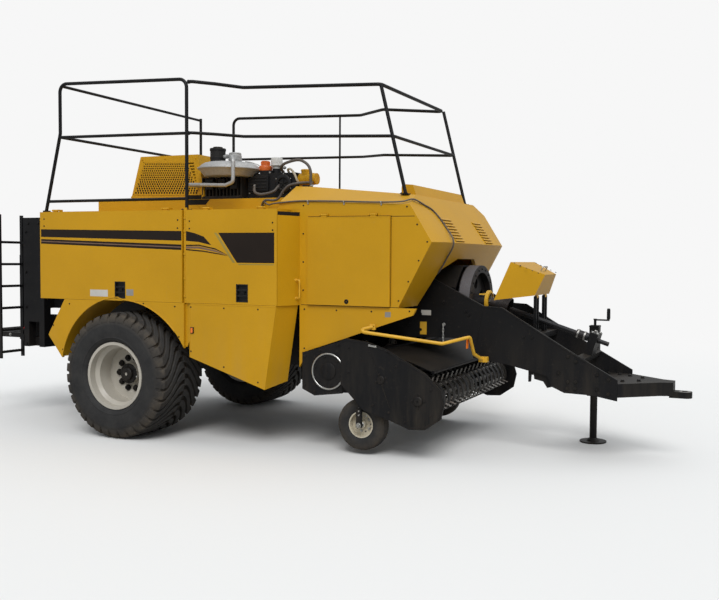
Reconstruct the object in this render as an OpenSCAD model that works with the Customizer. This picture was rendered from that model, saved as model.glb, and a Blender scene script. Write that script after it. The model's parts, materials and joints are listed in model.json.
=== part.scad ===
// Large square baler: one axle, a drawn-in tongue, a hood over the gearbox and opening side doors.
// X points forward to the hitch, Y to the left and Z up; the ground is Z = 0 under the axle.

/* [Main wheels] */
// Outer diameter of the main tyres over the lugs
tyre_d = 1333; // [1200:1:1400]
// Width of the main tyres
tyre_w = 700; // [640:2:740]
// Distance between the middles of the two main tyres
wheel_track = 2340; // [2300:5:2400]
// Height of a tread lug
lug_h = 34; // [20:1:45]
// Lugs on each half of the tread
lug_n = 18; // [14:1:18]
// Diameter of the rim where the tyre's bead sits
rim_seat_d = 673; // [640:1:690]
// Height of the rim's flange above the seat
rim_flange_h = 19; // [12:1:24]
// Width between the rim's flanges
rim_w = 600; // [560:2:620]
// Thickness of the rim's plate
rim_t = 12; // [8:1:16]
// Diameter of the wheel spindle
spindle_d = 90; // [70:1:100]
// Wheel studs on each hub
stud_n = 10; // [6:1:12]
// Pitch circle of the wheel studs
stud_pcd = 335; // [300:5:360]

/* [Bale chamber] */
// Width of the bale
bale_w = 1200; // [1100:5:1220]
// Height of the bale
bale_h = 875; // [800:5:900]
// Height of the chamber's floor above the ground
bale_floor_z = 960; // [940:5:980]
// Thickness of the chamber's plates
chamber_t = 30; // [20:1:40]
// Rear end of the chamber, behind the axle
chamber_rear = 2150; // [2100:5:2200]
// Front end of the chamber, ahead of the axle
chamber_front = 1900; // [1850:5:1950]
// Width of a chamber rib along the machine
rib_w = 60; // [40:2:80]
// Rails in the floor and in the roof of the tension section
tension_rail_n = 5; // [4:1:6]
// Length of the tension section
tension_len = 950; // [800:10:1000]

/* [Frame] */
// Height of the main beams
beam_h = 150; // [120:5:180]
// Width of the main beams
beam_w = 100; // [80:5:120]
// Thickness of the tongue's side plates
tongue_t = 30; // [20:1:40]
// Half the width of the tongue over its side plates
tongue_half = 450; // [430:5:470]
// Side of the square axle beam
axle_side = 150; // [120:5:160]

/* [Side boxes and doors] */
// Half the width over the closed side doors
door_half = 1380; // [1360:5:1400]
// Thickness of a side door
door_t = 40; // [25:1:45]
// Height of the doors' lower edge
door_z = 1450; // [1440:5:1480]
// Height of the deck over the side boxes
deck_z = 2400; // [2350:5:2450]
// Rear end of the rear door, behind the axle
door_rear = 1110; // [1050:5:1150]
// Place of the post between the doors
post_x = 815; // [800:5:830]
// Front end of the front door
door_front = 1915; // [1880:5:1930]
// Diameter of the post between the doors
post_d = 34; // [24:1:40]
// Thickness of the boxes' walls
wall_t = 25; // [15:1:30]
// Running gap round a door
door_gap = 5; // [4:0.5:8]

/* [Hood] */
// Half the width of the hood
hood_half = 1100; // [1080:5:1110]
// Height of the hood's roof
hood_top = 2600; // [2550:5:2650]
// Thickness of the hood's walls
hood_t = 30; // [20:1:35]
// Rear end of the hood
hood_rear = 2005; // [1990:5:2020]
// Place of the nose, the foremost edge
nose_x = 3420; // [3380:5:3460]
// Height of the nose
nose_z = 2080; // [2050:5:2110]
// Slope of a louvre blade on the hood's face
louvre_n = 6; // [4:1:8]

/* [Pickup and rotor] */
// Half the width over the pickup's side plates
pickup_half = 1183; // [1170:1:1190]
// Thickness of the pickup's side plates
pickup_t = 25; // [15:1:30]
// Radius of the reel over its tines
reel_r = 225; // [200:1:230]
// Tine bars on the reel
tine_bars = 4; // [3:1:6]
// Tines on each bar
tine_n = 16; // [10:1:18]
// Radius of the auger's flights
auger_r = 140; // [110:1:145]
// Radius of the cutting rotor over its arms
rotor_r = 240; // [200:1:250]
// Star plates on the cutting rotor
star_n = 9; // [6:1:11]
// Outer diameter of the gauge tyres
gauge_d = 510; // [480:2:520]
// Width of the gauge tyres
gauge_w = 150; // [120:2:170]

/* [Drive] */
// Radius of the flywheel
flywheel_r = 380; // [340:5:390]
// Width of the flywheel's rim
flywheel_w = 130; // [100:5:140]
// Diameter of the driveline's splined end
pto_d = 44.4; // [34:0.1:45]
// Diameter of the hole in the hitch eye
hitch_d = 51; // [40:1:60]

/* [Rails] */
// Diameter of the hand rails
rail_d = 36; // [30:1:42]
// Height of the rails' top tube above the ground
rail_z = 3800; // [3700:10:3900]

/* [Hidden] */
$fn = 64;
eps = 0.01;
run_gap = 0.3;
yellow = [0.80, 0.60, 0.12];
black = [0.07, 0.07, 0.08];
steel = [0.55, 0.56, 0.58];

axle_z = tyre_d / 2;
rim_r = rim_seat_d / 2;
chamber_in = bale_w / 2;
chamber_out = chamber_in + chamber_t;
chamber_top = bale_floor_z + bale_h;
chamber_base = bale_floor_z - chamber_t;
beam_z = chamber_base - beam_h;
beam_out = chamber_in;
box_out = door_half - door_t - door_gap;
box_in = 700;
post_gap = post_d / 2 + 8;
door_top = deck_z - door_gap;
hinge_out = 12;
hinge_up = 17;
hinge_pin_r = 5;
knuckle_r = 10;
pivot_x = 2357;
pivot_z = 810;
pivot_r = 50;
reel_x = 3330;
reel_z = 585;
auger_x = 2945;
auger_z = 765;
flywheel_z = 1480;
flywheel_x = 3420;
gauge_x = 2690;
gauge_y = 1030;
gauge_z = 300;
jack_x = 4640;
jack_r = 38;
hitch_x = 5620;
hitch_z = 640;
cover_x = 4180;
cover_z = 1550;
arch_rear_r = 820;
arch_front_z = 528;
arch_front_r = 932;
fender_t = 30;
fender_front = post_x - 3;
shield_rear = 882;

hitch_eye_r = 70;
chute_len = 900;
chute_x = -chamber_rear - 60;
chute_z = chamber_base - 10;

// The whole machine is drawn from its axle and moved so that its middle stands over the origin.
module centred() {
    translate([-(hitch_x + hitch_eye_r + chute_x - chute_len) / 2, 0, 0]) children();
}

// A slab of an outline in the XZ plane, between two places along Y.
module side_slab(points, y0, y1) {
    translate([0, y1, 0]) rotate([90, 0, 0]) linear_extrude(y1 - y0) polygon(points);
}

// A block between two corners.
module block(low, high) {
    translate(low) cube(high - low);
}

// A bar along Y.
module bar_y(x, z, r, y0, y1) {
    translate([x, y1, z]) rotate([90, 0, 0]) cylinder(r = r, h = y1 - y0);
}

// A bar along X.
module bar_x(y, z, r, x0, x1) {
    translate([x0, y, z]) rotate([0, 90, 0]) cylinder(r = r, h = x1 - x0);
}

module mirrored_y() {
    children();
    mirror([0, 1, 0]) children();
}

// Unit vector, and the two directions across it.
function unit(v) = v / norm(v);
function across(d) = unit(cross(d, abs(d[2]) < 0.9 ? [0, 0, 1] : [1, 0, 0]));

// Points of a route with each inner corner replaced by an arc of the given radius.
function corner_arc(a, b, c, r, steps) =
    let (u = unit(a - b), v = unit(c - b), half = acos(u * v) / 2, back = r / tan(half),
        centre = b + unit(u + v) * r / sin(half), p = b + u * back - centre, q = b + v * back - centre,
        turn = 180 - 2 * half)
    [for (i = [0:steps]) centre + (p * sin(turn * (1 - i / steps)) + q * sin(turn * i / steps)) / sin(turn)];
function rounded(route, r, steps = 4) = concat([route[0]],
    [for (i = [1:len(route) - 2]) each corner_arc(route[i - 1], route[i], route[i + 1], r, steps)],
    [route[len(route) - 1]]);

// A tube swept along points, as one closed polyhedron.
module swept_tube(points, r, sides = 10) {
    last = len(points) - 1;
    dirs = [for (i = [0:last])
        unit(unit(points[min(i + 1, last)] - points[min(i, last - 1)])
            + unit(points[max(i, 1)] - points[max(i - 1, 0)]))];
    ups = [for (i = 0, u = across(dirs[0]); i <= last;
        i = i + 1, u = i > last ? u : unit(u - dirs[i] * (u * dirs[i]))) u];
    rings = [for (i = [0:last]) let (u = ups[i], w = cross(dirs[i], u))
        [for (k = [0:sides - 1]) points[i] + r * (u * cos(k * 360 / sides) + w * sin(k * 360 / sides))]];
    verts = [for (ring = rings) each ring];
    walls = [for (i = [0:last - 1], k = [0:sides - 1]) let (a = i * sides + k, b = i * sides + (k + 1) % sides)
        [a, a + sides, b + sides, b]];
    polyhedron(verts, concat(walls, [[for (k = [0:sides - 1]) k]],
        [[for (k = [sides - 1:-1:0]) last * sides + k]]));
}

// Outline of a tyre's section: place across the tyre, radius, and whether a lug lifts the point.
function tyre_half() = let (w = tyre_w / 2, base = tyre_d / 2 - lug_h, seat = rim_r + 1, in = rim_w / 2 - 5)
    [[in, seat, 0], [in, seat + rim_flange_h + 3, 0], [w - 16, seat + 42, 0], [w, seat + 120, 0],
        [w - 8, base - 62, 0], [w - 28, base - 18, 1], [w * 0.48, base - 4, 1], [12, base, 1]];

// A flotation tyre about the Y axis, its two rows of swept lugs half a pitch apart.
module lug_tyre() {
    half = tyre_half();
    count = len(half);
    profile = concat([for (p = half) [-p[0], p[1], p[2]]], [for (i = [count - 1:-1:0]) half[i]]);
    m = len(profile);
    pitch = 360 / lug_n;
    steps = [0, 0.12, 0.5, 0.62];
    sweep = 0.75;
    n = lug_n * len(steps);
    verts = [for (i = [0:n - 1]) let (k = i % 4, turn = (floor(i / 4) + steps[k]) * pitch)
        each [for (p = profile) let (
            up = p[0] < 0 ? (k == 1 || k == 2) : (k == 3 || k == 0),
            r = p[1] + (p[2] == 1 && up ? lug_h - (abs(p[0]) > tyre_w / 3 ? 6 : 0) : 0),
            a = turn - sweep * pitch * min(abs(p[0]) / (tyre_w / 2 - 28), 1))
            [r * cos(a), p[0], r * sin(a)]]];
    faces = [for (i = [0:n - 1], j = [0:m - 1]) let (
        a = i * m + j, b = i * m + (j + 1) % m, c = ((i + 1) % n) * m + (j + 1) % m, d = ((i + 1) % n) * m + j)
        each [[a, c, b], [a, d, c]]];
    polyhedron(verts, faces);
}

module tyre(y) {
    color([0.05, 0.05, 0.05]) translate([0, y, axle_z]) lug_tyre();
}
module tyre_right() { tyre(-wheel_track / 2); }
module tyre_left() { tyre(wheel_track / 2); }

// A main wheel's rim, disc, hub and studs about the Y axis, its outer face towards -Y.
module rim() {
    half = rim_w / 2;
    drop = 36;
    flange = rim_r + rim_flange_h;
    in = rim_r - rim_t;
    hub_r = 110;
    disc_y = 30;
    stud_r = 11;
    rotate([90, 0, 0]) {
        rotate_extrude($fn = 96) polygon([[flange, half + rim_t], [flange, half], [rim_r, half],
            [rim_r, half - 70], [rim_r - drop, half - 100], [rim_r - drop, 100 - half], [rim_r, 70 - half],
            [rim_r, -half], [flange, -half], [flange, -half - rim_t], [in, -half - rim_t], [in, 64 - half],
            [in - drop, 94 - half], [in - drop, half - 94], [in, half - 64], [in, half + rim_t]]);
        difference() {
            union() {
                rotate_extrude($fn = 96) polygon([[hub_r - 2, disc_y - 30], [in - drop + 2, disc_y],
                    [in - drop + 2, disc_y + rim_t], [stud_pcd / 2 + 40, disc_y + rim_t],
                    [hub_r - 2, disc_y - 30 + rim_t]]);
                translate([0, 0, -90]) cylinder(r = hub_r, h = 180);
                translate([0, 0, 90]) cylinder(r = 62, h = 40);
                for (i = [0:stud_n - 1]) rotate([0, 0, i * 360 / stud_n])
                    translate([stud_pcd / 2, 0, disc_y - 14]) cylinder(r = stud_r, h = 50, $fn = 24);
            }
            translate([0, 0, -90 - eps]) cylinder(d = spindle_d + 2 * run_gap, h = 170);
        }
    }
}
module rim_right() { color([0.75, 0.74, 0.70]) translate([0, -wheel_track / 2, axle_z]) rim(); }
module rim_left() { mirror([0, 1, 0]) rim_right(); }

module axle() {
    color(black) {
        half = axle_side / 2;
        end = wheel_track / 2 - 380;
        block([-half, -end, axle_z - half], [half, end, axle_z + half]);
        mirrored_y() {
            bar_y(0, axle_z, spindle_d / 2, -wheel_track / 2 - 70, -end + 10);
            block([-half - 60, -beam_out, axle_z + half - eps], [half + 60, beam_w - beam_out, beam_z]);
        }
    }
}

module frame() {
    x0 = -1500;
    x1 = 2080;
    cross_w = 100;
    color(black) {
        mirrored_y() block([x0, -beam_out, beam_z], [x1, beam_w - beam_out, chamber_base]);
        for (x = [x0, -cross_w / 2, 1100, x1 - cross_w])
            block([x, beam_w - beam_out - eps, beam_z], [x + cross_w, beam_out - beam_w + eps, chamber_base]);
    }
}

module bale_chamber() {
    x0 = -chamber_rear;
    x1 = chamber_front;
    slot_x1 = x0 + tension_len;
    pitch = bale_w / tension_rail_n;
    rib_out = box_in - run_gap;
    color(black) difference() {
        union() {
            block([x0, -chamber_out, chamber_base], [x1, chamber_out, chamber_top + chamber_t]);
            for (x = [x0, x0 + 420, slot_x1 - 60])
                block([x, -rib_out, chamber_base], [x + rib_w, rib_out, chamber_top + chamber_t + 60]);
            block([-300, -rib_out, chamber_base], [-300 + rib_w, rib_out, chamber_top + chamber_t]);
            block([x1 - rib_w, -rib_out, chamber_base], [x1, rib_out, chamber_top + chamber_t]);
        }
        block([x0 - 1, -chamber_in, bale_floor_z], [x1 + 1, chamber_in, chamber_top]);
        for (k = [1:tension_rail_n - 1], z = [chamber_base - 1, chamber_top - 1])
            block([x0 + 120, -chamber_in + k * pitch - 35, z],
                [slot_x1 - 120, -chamber_in + k * pitch + 35, z + chamber_t + 62]);
        for (s = [-1, 1], k = [1:2])
            block([x0 + 120, s > 0 ? chamber_in - 1 : -rib_out - 1, bale_floor_z + k * bale_h / 3 - 40],
                [slot_x1 - 120, s > 0 ? rib_out + 1 : 1 - chamber_in, bale_floor_z + k * bale_h / 3 + 40]);
    }
    color(black) chute_lugs();
}

module tension_frame() {
    x0 = -1980;
    x1 = -1660;
    out = 800;
    in = box_in;
    foot = chamber_base - 100;
    color(black) {
        mirrored_y() {
            block([x0, -out, foot], [x0 + 80, -in, door_top - 25]);
            block([x1 - 80, -out, foot], [x1, -in, door_top - 25]);
            block([x0 + 80 - eps, -out, foot + 300], [x1 - 80 + eps, -out + 20, door_top - 25]);
        }
        block([x0, -in - eps, door_top - 125], [x1, in + eps, door_top - 25]);
        block([x0, -in - eps, foot], [x1, in + eps, chamber_base]);
    }
}

module density_cylinders() {
    x = -1820;
    y = bale_w / tension_rail_n;
    roof = chamber_top + chamber_t;
    rod = 140;
    color(steel) for (s = [-1, 1]) {
        translate([x, s * y, roof]) cylinder(r = 28, h = rod + eps);
        translate([x, s * y, roof + rod]) cylinder(r = 50, h = door_top - 125 - roof - rod);
    }
}

// The plunger's face, skirts and shoes; it slides back through the chamber from rest.
module plunger() {
    face_x = 1500;
    back_x = 1850;
    side = 10;
    top = chamber_top - side;
    foot = bale_floor_z + run_gap;
    color(black) {
        block([face_x, side - chamber_in, bale_floor_z + side], [face_x + 40, chamber_in - side, top]);
        for (y = [side - chamber_in, -160, 120, chamber_in - side - 40])
            block([face_x + 40 - eps, y, bale_floor_z + side], [back_x, y + 40, top]);
        for (y = [-560, 480]) block([face_x, y, foot], [back_x, y + 80, bale_floor_z + side + eps]);
    }
}

// The chute's hinge pins sit in lugs on the chamber's rear end.
module chute() {
    half = 610;
    len = chute_len;
    color(black) {
        difference() {
            union() {
                block([chute_x - len, -half, chute_z - 12], [chute_x - 30, -half + 40, chute_z + 48]);
                block([chute_x - len, half - 40, chute_z - 12], [chute_x - 30, half, chute_z + 48]);
                bar_y(chute_x, chute_z, 30, -half, -half + 40);
                bar_y(chute_x, chute_z, 30, half - 40, half);
                for (s = [-1, 1]) block([chute_x - 60, s > 0 ? half - 40 : -half, chute_z - 12],
                    [chute_x, s > 0 ? half : 40 - half, chute_z + 12]);
            }
            bar_y(chute_x, chute_z, 12 + run_gap, -half - 1, half + 1);
        }
        for (x = [200:170:880])
            bar_y(chute_x - x, chute_z + 20, 24, 20 - half, half - 20);
    }
}
module chute_lugs() {
    lug_in = 615;
    mirrored_y() {
        block([chute_x - 25, -chamber_out, chute_z - 30], [-chamber_rear + eps, -lug_in, chute_z + 30]);
        bar_y(chute_x, chute_z, 12, -lug_in - 5, -560);
    }
}

// Pins and lugs of a top hinge along X, at the outer face of the wall that carries it.
module hinge_lugs(x, wall_y, top_z) {
    y = wall_y - door_gap - hinge_out;
    z = top_z + hinge_up;
    for (e = [-1, 1]) translate([x + e * 40, 0, 0]) {
        block([-5, y, z - 10], [5, wall_y + eps, z + 10]);
        block([-5, wall_y, top_z], [5, wall_y + 40, z + 10]);
        bar_x(y, z, knuckle_r, -5, 5);
    }
    bar_x(y, z, hinge_pin_r, x - 40, x + 40);
}

module hinge_knuckle(x, wall_y, top_z) {
    y = wall_y - door_gap - hinge_out;
    z = top_z + hinge_up;
    difference() {
        union() {
            bar_x(y, z, knuckle_r, x - 30, x + 30);
            block([x - 30, y - 5, top_z - 2], [x + 30, y + 5, z]);
        }
        bar_x(y, z, hinge_pin_r + run_gap, x - 31, x + 31);
    }
}

// The space behind a pair of side doors: floor, back, ends, shelf and the post between the doors.
module twine_box() {
    rear = -door_rear;
    shelf_z = (door_z + deck_z) / 2;
    mid = 22;
    difference() {
        union() {
            block([rear, -box_out, door_z], [door_front - 10, -box_in, deck_z]);
            for (x = [rear + 200, post_x - 250, post_x + 250, door_front - 200]) hinge_lugs(x, -box_out, door_top);
        }
        block([rear + wall_t, -box_out - 1, door_z + wall_t], [post_x - mid, -box_in - wall_t, shelf_z]);
        block([rear + wall_t, -box_out - 1, shelf_z + wall_t], [post_x - mid, -box_in - wall_t, deck_z - wall_t]);
        block([post_x + mid, -box_out - 1, door_z + wall_t],
            [door_front - 10 - wall_t, -box_in - wall_t, shelf_z]);
        block([post_x + mid, -box_out - 1, shelf_z + wall_t],
            [door_front - 10 - wall_t, -box_in - wall_t, deck_z - wall_t]);
    }
    translate([post_x, -box_out - post_d / 2 + 2, door_z]) cylinder(d = post_d, h = deck_z + 20 - door_z);
    // The slanted end panel ahead of the front door.
    linear_extrude_between(door_z, deck_z - 30) polygon([[door_front + door_gap, -door_half],
        [hood_rear, -hood_half], [hood_rear - wall_t, -hood_half], [door_front - 12, -box_out + 20],
        [door_front - 12, -box_out], [door_front + door_gap, -box_out]]);
    block([door_front - 12, -hood_half, door_z], [hood_rear, -box_in, door_z + wall_t]);
    block([door_front - 12, -hood_half, deck_z - wall_t], [hood_rear, -box_in, deck_z]);
}
module linear_extrude_between(z0, z1) {
    translate([0, 0, z0]) linear_extrude(z1 - z0) children();
}
module twine_box_right() { color(yellow) twine_box(); }
module twine_box_left() { color(yellow) mirror([0, 1, 0]) twine_box(); }

// A flat side door with its latch pocket and two hinge knuckles.
module side_door(x0, x1, hinges, latch_x) {
    pocket_w = 60;
    pocket_h = 95;
    difference() {
        block([x0, -door_half, door_z + 2], [x1, door_t - door_half, door_top]);
        block([latch_x - pocket_w / 2, -door_half - 1, door_z + 45],
            [latch_x + pocket_w / 2, 22 - door_half, door_z + 45 + pocket_h]);
    }
    block([latch_x - 12, -door_half + 2, door_z + 70], [latch_x + 12, 24 - door_half, door_z + 45 + pocket_h + eps]);
    for (x = hinges) hinge_knuckle(x, -box_out, door_top);
}
module door_rear_right() {
    color(yellow) side_door(-door_rear, post_x - post_gap, [-door_rear + 200, post_x - 250], -40);
}
module door_rear_left() { mirror([0, 1, 0]) door_rear_right(); }
module door_front_right() {
    color(yellow) side_door(post_x + post_gap, door_front, [post_x + 250, door_front - 200], 1430);
}
module door_front_left() { mirror([0, 1, 0]) door_front_right(); }

// The panel behind and ahead of the wheel, cut by an arch that opens wider ahead: start, height and radius.
module fender() {
    difference() {
        union() {
            side_slab([[-768, door_z], [-1003, 1054], [-812, 814], [-700, 760], [0, 900], [fender_front, 960],
                [fender_front, door_z]], -door_half, fender_t - door_half);
            // The flange under the boxes' floor.
            block([-768, fender_t - door_half - eps, door_z - 12], [fender_front, 90 - door_half, door_z]);
            // The recessed strip that leads on to the shield.
            side_slab([[fender_front - 60, door_z], [fender_front - 60, 1000], [fender_front + 20, 1000],
                [shield_rear - 6, 1100], [shield_rear - 6, door_z]], fender_t - door_half - eps,
                fender_t + 12 - door_half);
        }
        for (half = [[-1000, axle_z, arch_rear_r], [0, arch_front_z, arch_front_r]]) intersection() {
            bar_y(0, half[1], half[2], -door_half - 1, 100 - door_half);
            block([half[0], -door_half - 1, 0], [half[0] + 1000, 100 - door_half, 2000]);
        }
    }
}
module fender_right() { color(yellow) fender(); }
module fender_left() { color(yellow) mirror([0, 1, 0]) fender(); }

// The lower shield under the front door, folded back towards the hood.
module shield() {
    t = 30;
    side = [[shield_rear, door_z], [shield_rear, 900], [1778, 620], [door_front - 8, door_z]];
    side_slab(side, -door_half, t - door_half);
    outer_low = [1778, -door_half, 620];
    outer_top = [door_front - 8, -door_half, door_z];
    inner_low = [1868, -hood_half, 680];
    inner_top = [1986, -hood_half, door_z];
    back = [-t, t / 2, 0];
    ring = [outer_low, inner_low, inner_top, outer_top];
    polyhedron(concat(ring, [for (p = ring) p + back]),
        [[3, 2, 1, 0], [4, 5, 6, 7], [1, 5, 4, 0], [2, 6, 5, 1], [3, 7, 6, 2], [0, 4, 7, 3]]);
}
module shield_right() { color(yellow) shield(); }
module shield_left() { color(yellow) mirror([0, 1, 0]) shield(); }

module deck() {
    color(yellow) {
        block([-door_rear, -box_in, deck_z - wall_t], [hood_rear, box_in, deck_z]);
        block([-870, -750, deck_z], [560, 750, deck_z + 150]);
    }
}

// Outline of the hood's side, and the same drawn in by a wall.
function hood_side(t) = [[hood_rear - (t > 0 ? 100 : 0), hood_top - t], [3110 - t * 0.6, hood_top - t],
    [3200 - t, 2430 - t * 0.3], [nose_x - t * 1.25, nose_z], [3080 - t, door_z + (t > 0 ? -20 : 0)],
    [hood_rear - (t > 0 ? 100 : 0), door_z + (t > 0 ? -20 : 0)]];
hood_door_x0 = 2105;
hood_door_x1 = 3000;
hood_door_z0 = 1460;
hood_door_z1 = 2325;
module hood() {
    inner = hood_half - hood_t;
    color(yellow) difference() {
        union() {
            side_slab(hood_side(0), -hood_half, hood_half);
            block([2930, -700, hood_top - eps], [3090, 700, hood_top + 55]);
            mirrored_y() for (x = [hood_door_x0 + 180, hood_door_x1 - 180])
                hinge_lugs(x, -hood_half, hood_door_z1);
        }
        difference() {
            side_slab(hood_side(hood_t), -inner, inner);
            block([hood_rear - 200, -inner - 1, deck_z], [hood_rear + hood_t, inner + 1, hood_top]);
        }
        block([2950, -700, door_z - 50], [nose_x + 50, 700, 1960]);
        mirrored_y() block([hood_door_x0 + 30, -hood_half - 1, hood_door_z0 + 30],
            [hood_door_x1 - 30, 1 - inner, hood_door_z1 - 30]);
        for (y = [-330, 130], k = [0:louvre_n - 1]) translate([3262 + k * 24, y - k * 12, 2330 - k * 40])
            block([-60, 0, 0], [60, 180, 14]);
    }
}
module hood_door() {
    y = -hood_half - door_gap;
    block([hood_door_x0, y - 20, hood_door_z0], [hood_door_x1, y, hood_door_z1]);
    for (x = [hood_door_x0 + 180, hood_door_x1 - 180]) hinge_knuckle(x, -hood_half, hood_door_z1);
}
module hood_door_right() { color(yellow) hood_door(); }
module hood_door_left() { color(yellow) mirror([0, 1, 0]) hood_door(); }

module skirt() {
    side_slab([[hood_rear, door_z], [hood_rear, 828], [2105, 1000], [2515, 1137], [2838, 1252],
        [3233, 1385], [3267, door_z]], -hood_half, hood_t - hood_half);
}
module skirt_right() { color(yellow) skirt(); }
module skirt_left() { color(yellow) mirror([0, 1, 0]) skirt(); }

// The vented box behind the rail, its side leaning in at both ends.
module fan_box() {
    z0 = deck_z + 150;
    z1 = 3040;
    y0 = -740;
    y1 = -260;
    slot_h = 14;
    color(yellow) difference() {
        side_slab([[-410, z0], [-268, z1], [512, z1], [600, z0]], y0, y1);
        side_slab([[-370, z0 - 1], [-250, z1 - 20], [494, z1 - 20], [560, z0 - 1]], y0 + 20, y1 - 20);
        for (z = [z0 + 70:32:z1 - 90]) let (k = (z - z0) / (z1 - z0))
            block([-330 + k * 130, y0 - 1, z], [520 - k * 80, y0 + 21, z + slot_h]);
    }
}

module engine() {
    color([0.13, 0.13, 0.13]) {
        block([620, -800, deck_z + 150], [1120, -330, deck_z + 180]);
        for (k = [0:7]) block([640, -790 + k * 3, deck_z + 200 + k * 24], [1080, -360, deck_z + 212 + k * 24]);
        block([700, -740, deck_z + 180 - eps], [1020, -400, deck_z + 385]);
        block([600, -700, deck_z], [1700, -300, deck_z + 150]);
    }
}
module engine_blower() {
    color([0.72, 0.72, 0.72]) translate([860, -560, deck_z + 385]) {
        cylinder(r1 = 240, r2 = 285, h = 70);
        translate([0, 0, 70]) cylinder(r1 = 285, r2 = 190, h = 70);
        translate([120, -60, 139]) cylinder(r = 45, h = 90);
    }
}
module air_cleaner() {
    color([0.10, 0.10, 0.10]) {
        block([1200, -780, deck_z + 150], [1700, -420, deck_z + 420]);
    }
    color(yellow) bar_x(-560, deck_z + 330, 75, 1700 - eps, hood_rear);
}

module rail(route, r = 90) {
    swept_tube(rounded(route, r), rail_d / 2);
}
rail_y = 1250;
rail_in = 850;
rail_mid = 3220;
module rails_rear() {
    foot = [-1150, deck_z + 20];
    plate = [-door_rear - 65, -door_rear];
    knee = [-935, 3260];
    front = 755;
    low = deck_z + 120;
    color(black) mirrored_y() {
        rail([[foot[0], -rail_y, deck_z + 5], [knee[0], -rail_y, knee[1]], [knee[0], -rail_y, rail_z],
            [front, -rail_y, rail_z], [front, -rail_y, deck_z + 0.3]]);
        swept_tube([[knee[0], -rail_y, rail_mid], [front, -rail_y, rail_mid]], rail_d / 2 - 2);
        swept_tube([[foot[0] + 28, -rail_y, low], [front, -rail_y, low]], rail_d / 2 - 2);
        block([plate[0], -rail_y - 25, deck_z - 110], [plate[1], -rail_y + 25, deck_z + 20]);
    }
    color(black) for (z = [rail_mid - 30, rail_z - 60])
        swept_tube([[knee[0], -rail_y, z], [knee[0], rail_y, z]], rail_d / 2 - 2);
}
module rails_front() {
    top = rail_z - 120;
    mid = rail_mid - 60;
    x1 = 2790;
    foot = 3045;
    lean = (foot - x1) / (top - hood_top);
    color(black) {
        mirrored_y() {
            rail([[900, -rail_y, deck_z + 0.3], [900, -rail_y, top], [1180, -rail_in, top],
                [x1, -rail_in, top], [x1, 0, top]]);
            swept_tube(rounded([[900, -rail_y, mid], [1180, -rail_in, mid],
                [x1 + lean * (top - mid), -rail_in, mid], [x1 + lean * (top - mid), 0, mid]], 60), rail_d / 2 - 2);
            swept_tube([[x1, -rail_in, top], [foot, -rail_in, hood_top + 5]], rail_d / 2);
        }
    }
}
module ladder() {
    x = -2080;
    y0 = -1060;
    y1 = -740;
    color(black) {
        for (y = [y0, y1]) block([x - 20, y, 700], [x + 20, y + 20, door_top + 5]);
        for (z = [760:260:2300]) block([x - 25, y0 + 10, z], [x + 25, y1 + 10, z + 25]);
        for (z = [1020, 2060]) block([x + 20 - eps, -800, z], [-1980, y1 + 5, z + 25]);
    }
}

module gearbox() {
    color(black) difference() {
        union() {
            block([2300, -300, 1150], [2900, 300, 1760]);
            block([2240, -340, 1150], [2960, 340, 1190]);
            bar_x(0, flywheel_z, 150, 2900 - eps, 2950);
            bar_x(0, flywheel_z, 85, 2950 - eps, 3010);
        }
        bar_x(0, flywheel_z, 40 + run_gap, 2940, 3011);
    }
}
module flywheel_cover() {
    color(black) difference() {
        bar_x_poly(8, 410, 3060, 3395);
        bar_x_poly(8, 390, 3080, 3396);
        bar_x(0, flywheel_z, 70, 3059, 3081);
        block([3100, -450, 900], [3400, 450, flywheel_z - 120]);
    }
}
module bar_x_poly(sides, r, x0, x1) {
    translate([x0, 0, flywheel_z]) rotate([0, 90, 0]) rotate([0, 0, 180 / sides])
        cylinder(r = r, h = x1 - x0, $fn = sides);
}
module flywheel() {
    x1 = flywheel_x + flywheel_w;
    color([0.2, 0.2, 0.2]) difference() {
        union() {
            bar_x(0, flywheel_z, flywheel_r, flywheel_x, x1);
            bar_x(0, flywheel_z, 40, 2955, x1);
            bar_x(0, flywheel_z, 85, flywheel_x - 15, x1 + 50);
        }
        difference() {
            bar_x(0, flywheel_z, flywheel_r - 75, flywheel_x + 60, x1 + 1);
            bar_x(0, flywheel_z, 85, flywheel_x, x1 + 1);
        }
        for (k = [0:4]) translate([flywheel_x - 1, 0, flywheel_z]) rotate([k * 72, 0, 0])
            translate([0, 0, 190]) rotate([0, 90, 0]) cylinder(r = 55, h = 80);
    }
}

// The driveline runs down from the flywheel to its bearing on the tongue.
line_x = 3660;
line_z = flywheel_z - 4;
line_tilt = 17.5;
line_len = 1130;
module along_line() {
    translate([line_x, 0, line_z]) rotate([0, line_tilt, 0]) children();
}
module driveline() {
    color(black) along_line() {
        bar_x(0, 0, 25, 0, line_len + 60);
        bar_x(0, 0, 55, -10, 60);
        bar_x(0, 0, 45, 60, 150);
        bar_x(0, 0, 42, line_len - 190, line_len - 60);
        bar_x(0, 0, pto_d / 2, line_len + 60 - eps, line_len + 150);
    }
    color(yellow) along_line() difference() {
        bar_x(0, 0, 112, 70, 200);
        bar_x(0, 0, 100, 90, 201);
    }
}
cover_plan_k = 0.753;
module cover_plan(inset) {
    w0 = 660 - inset;
    linear_extrude_between(1300, 2000) polygon([[3700, -w0], [4300, 600 * cover_plan_k - w0],
        [4300, w0 - 600 * cover_plan_k], [3700, w0]]);
}
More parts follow.
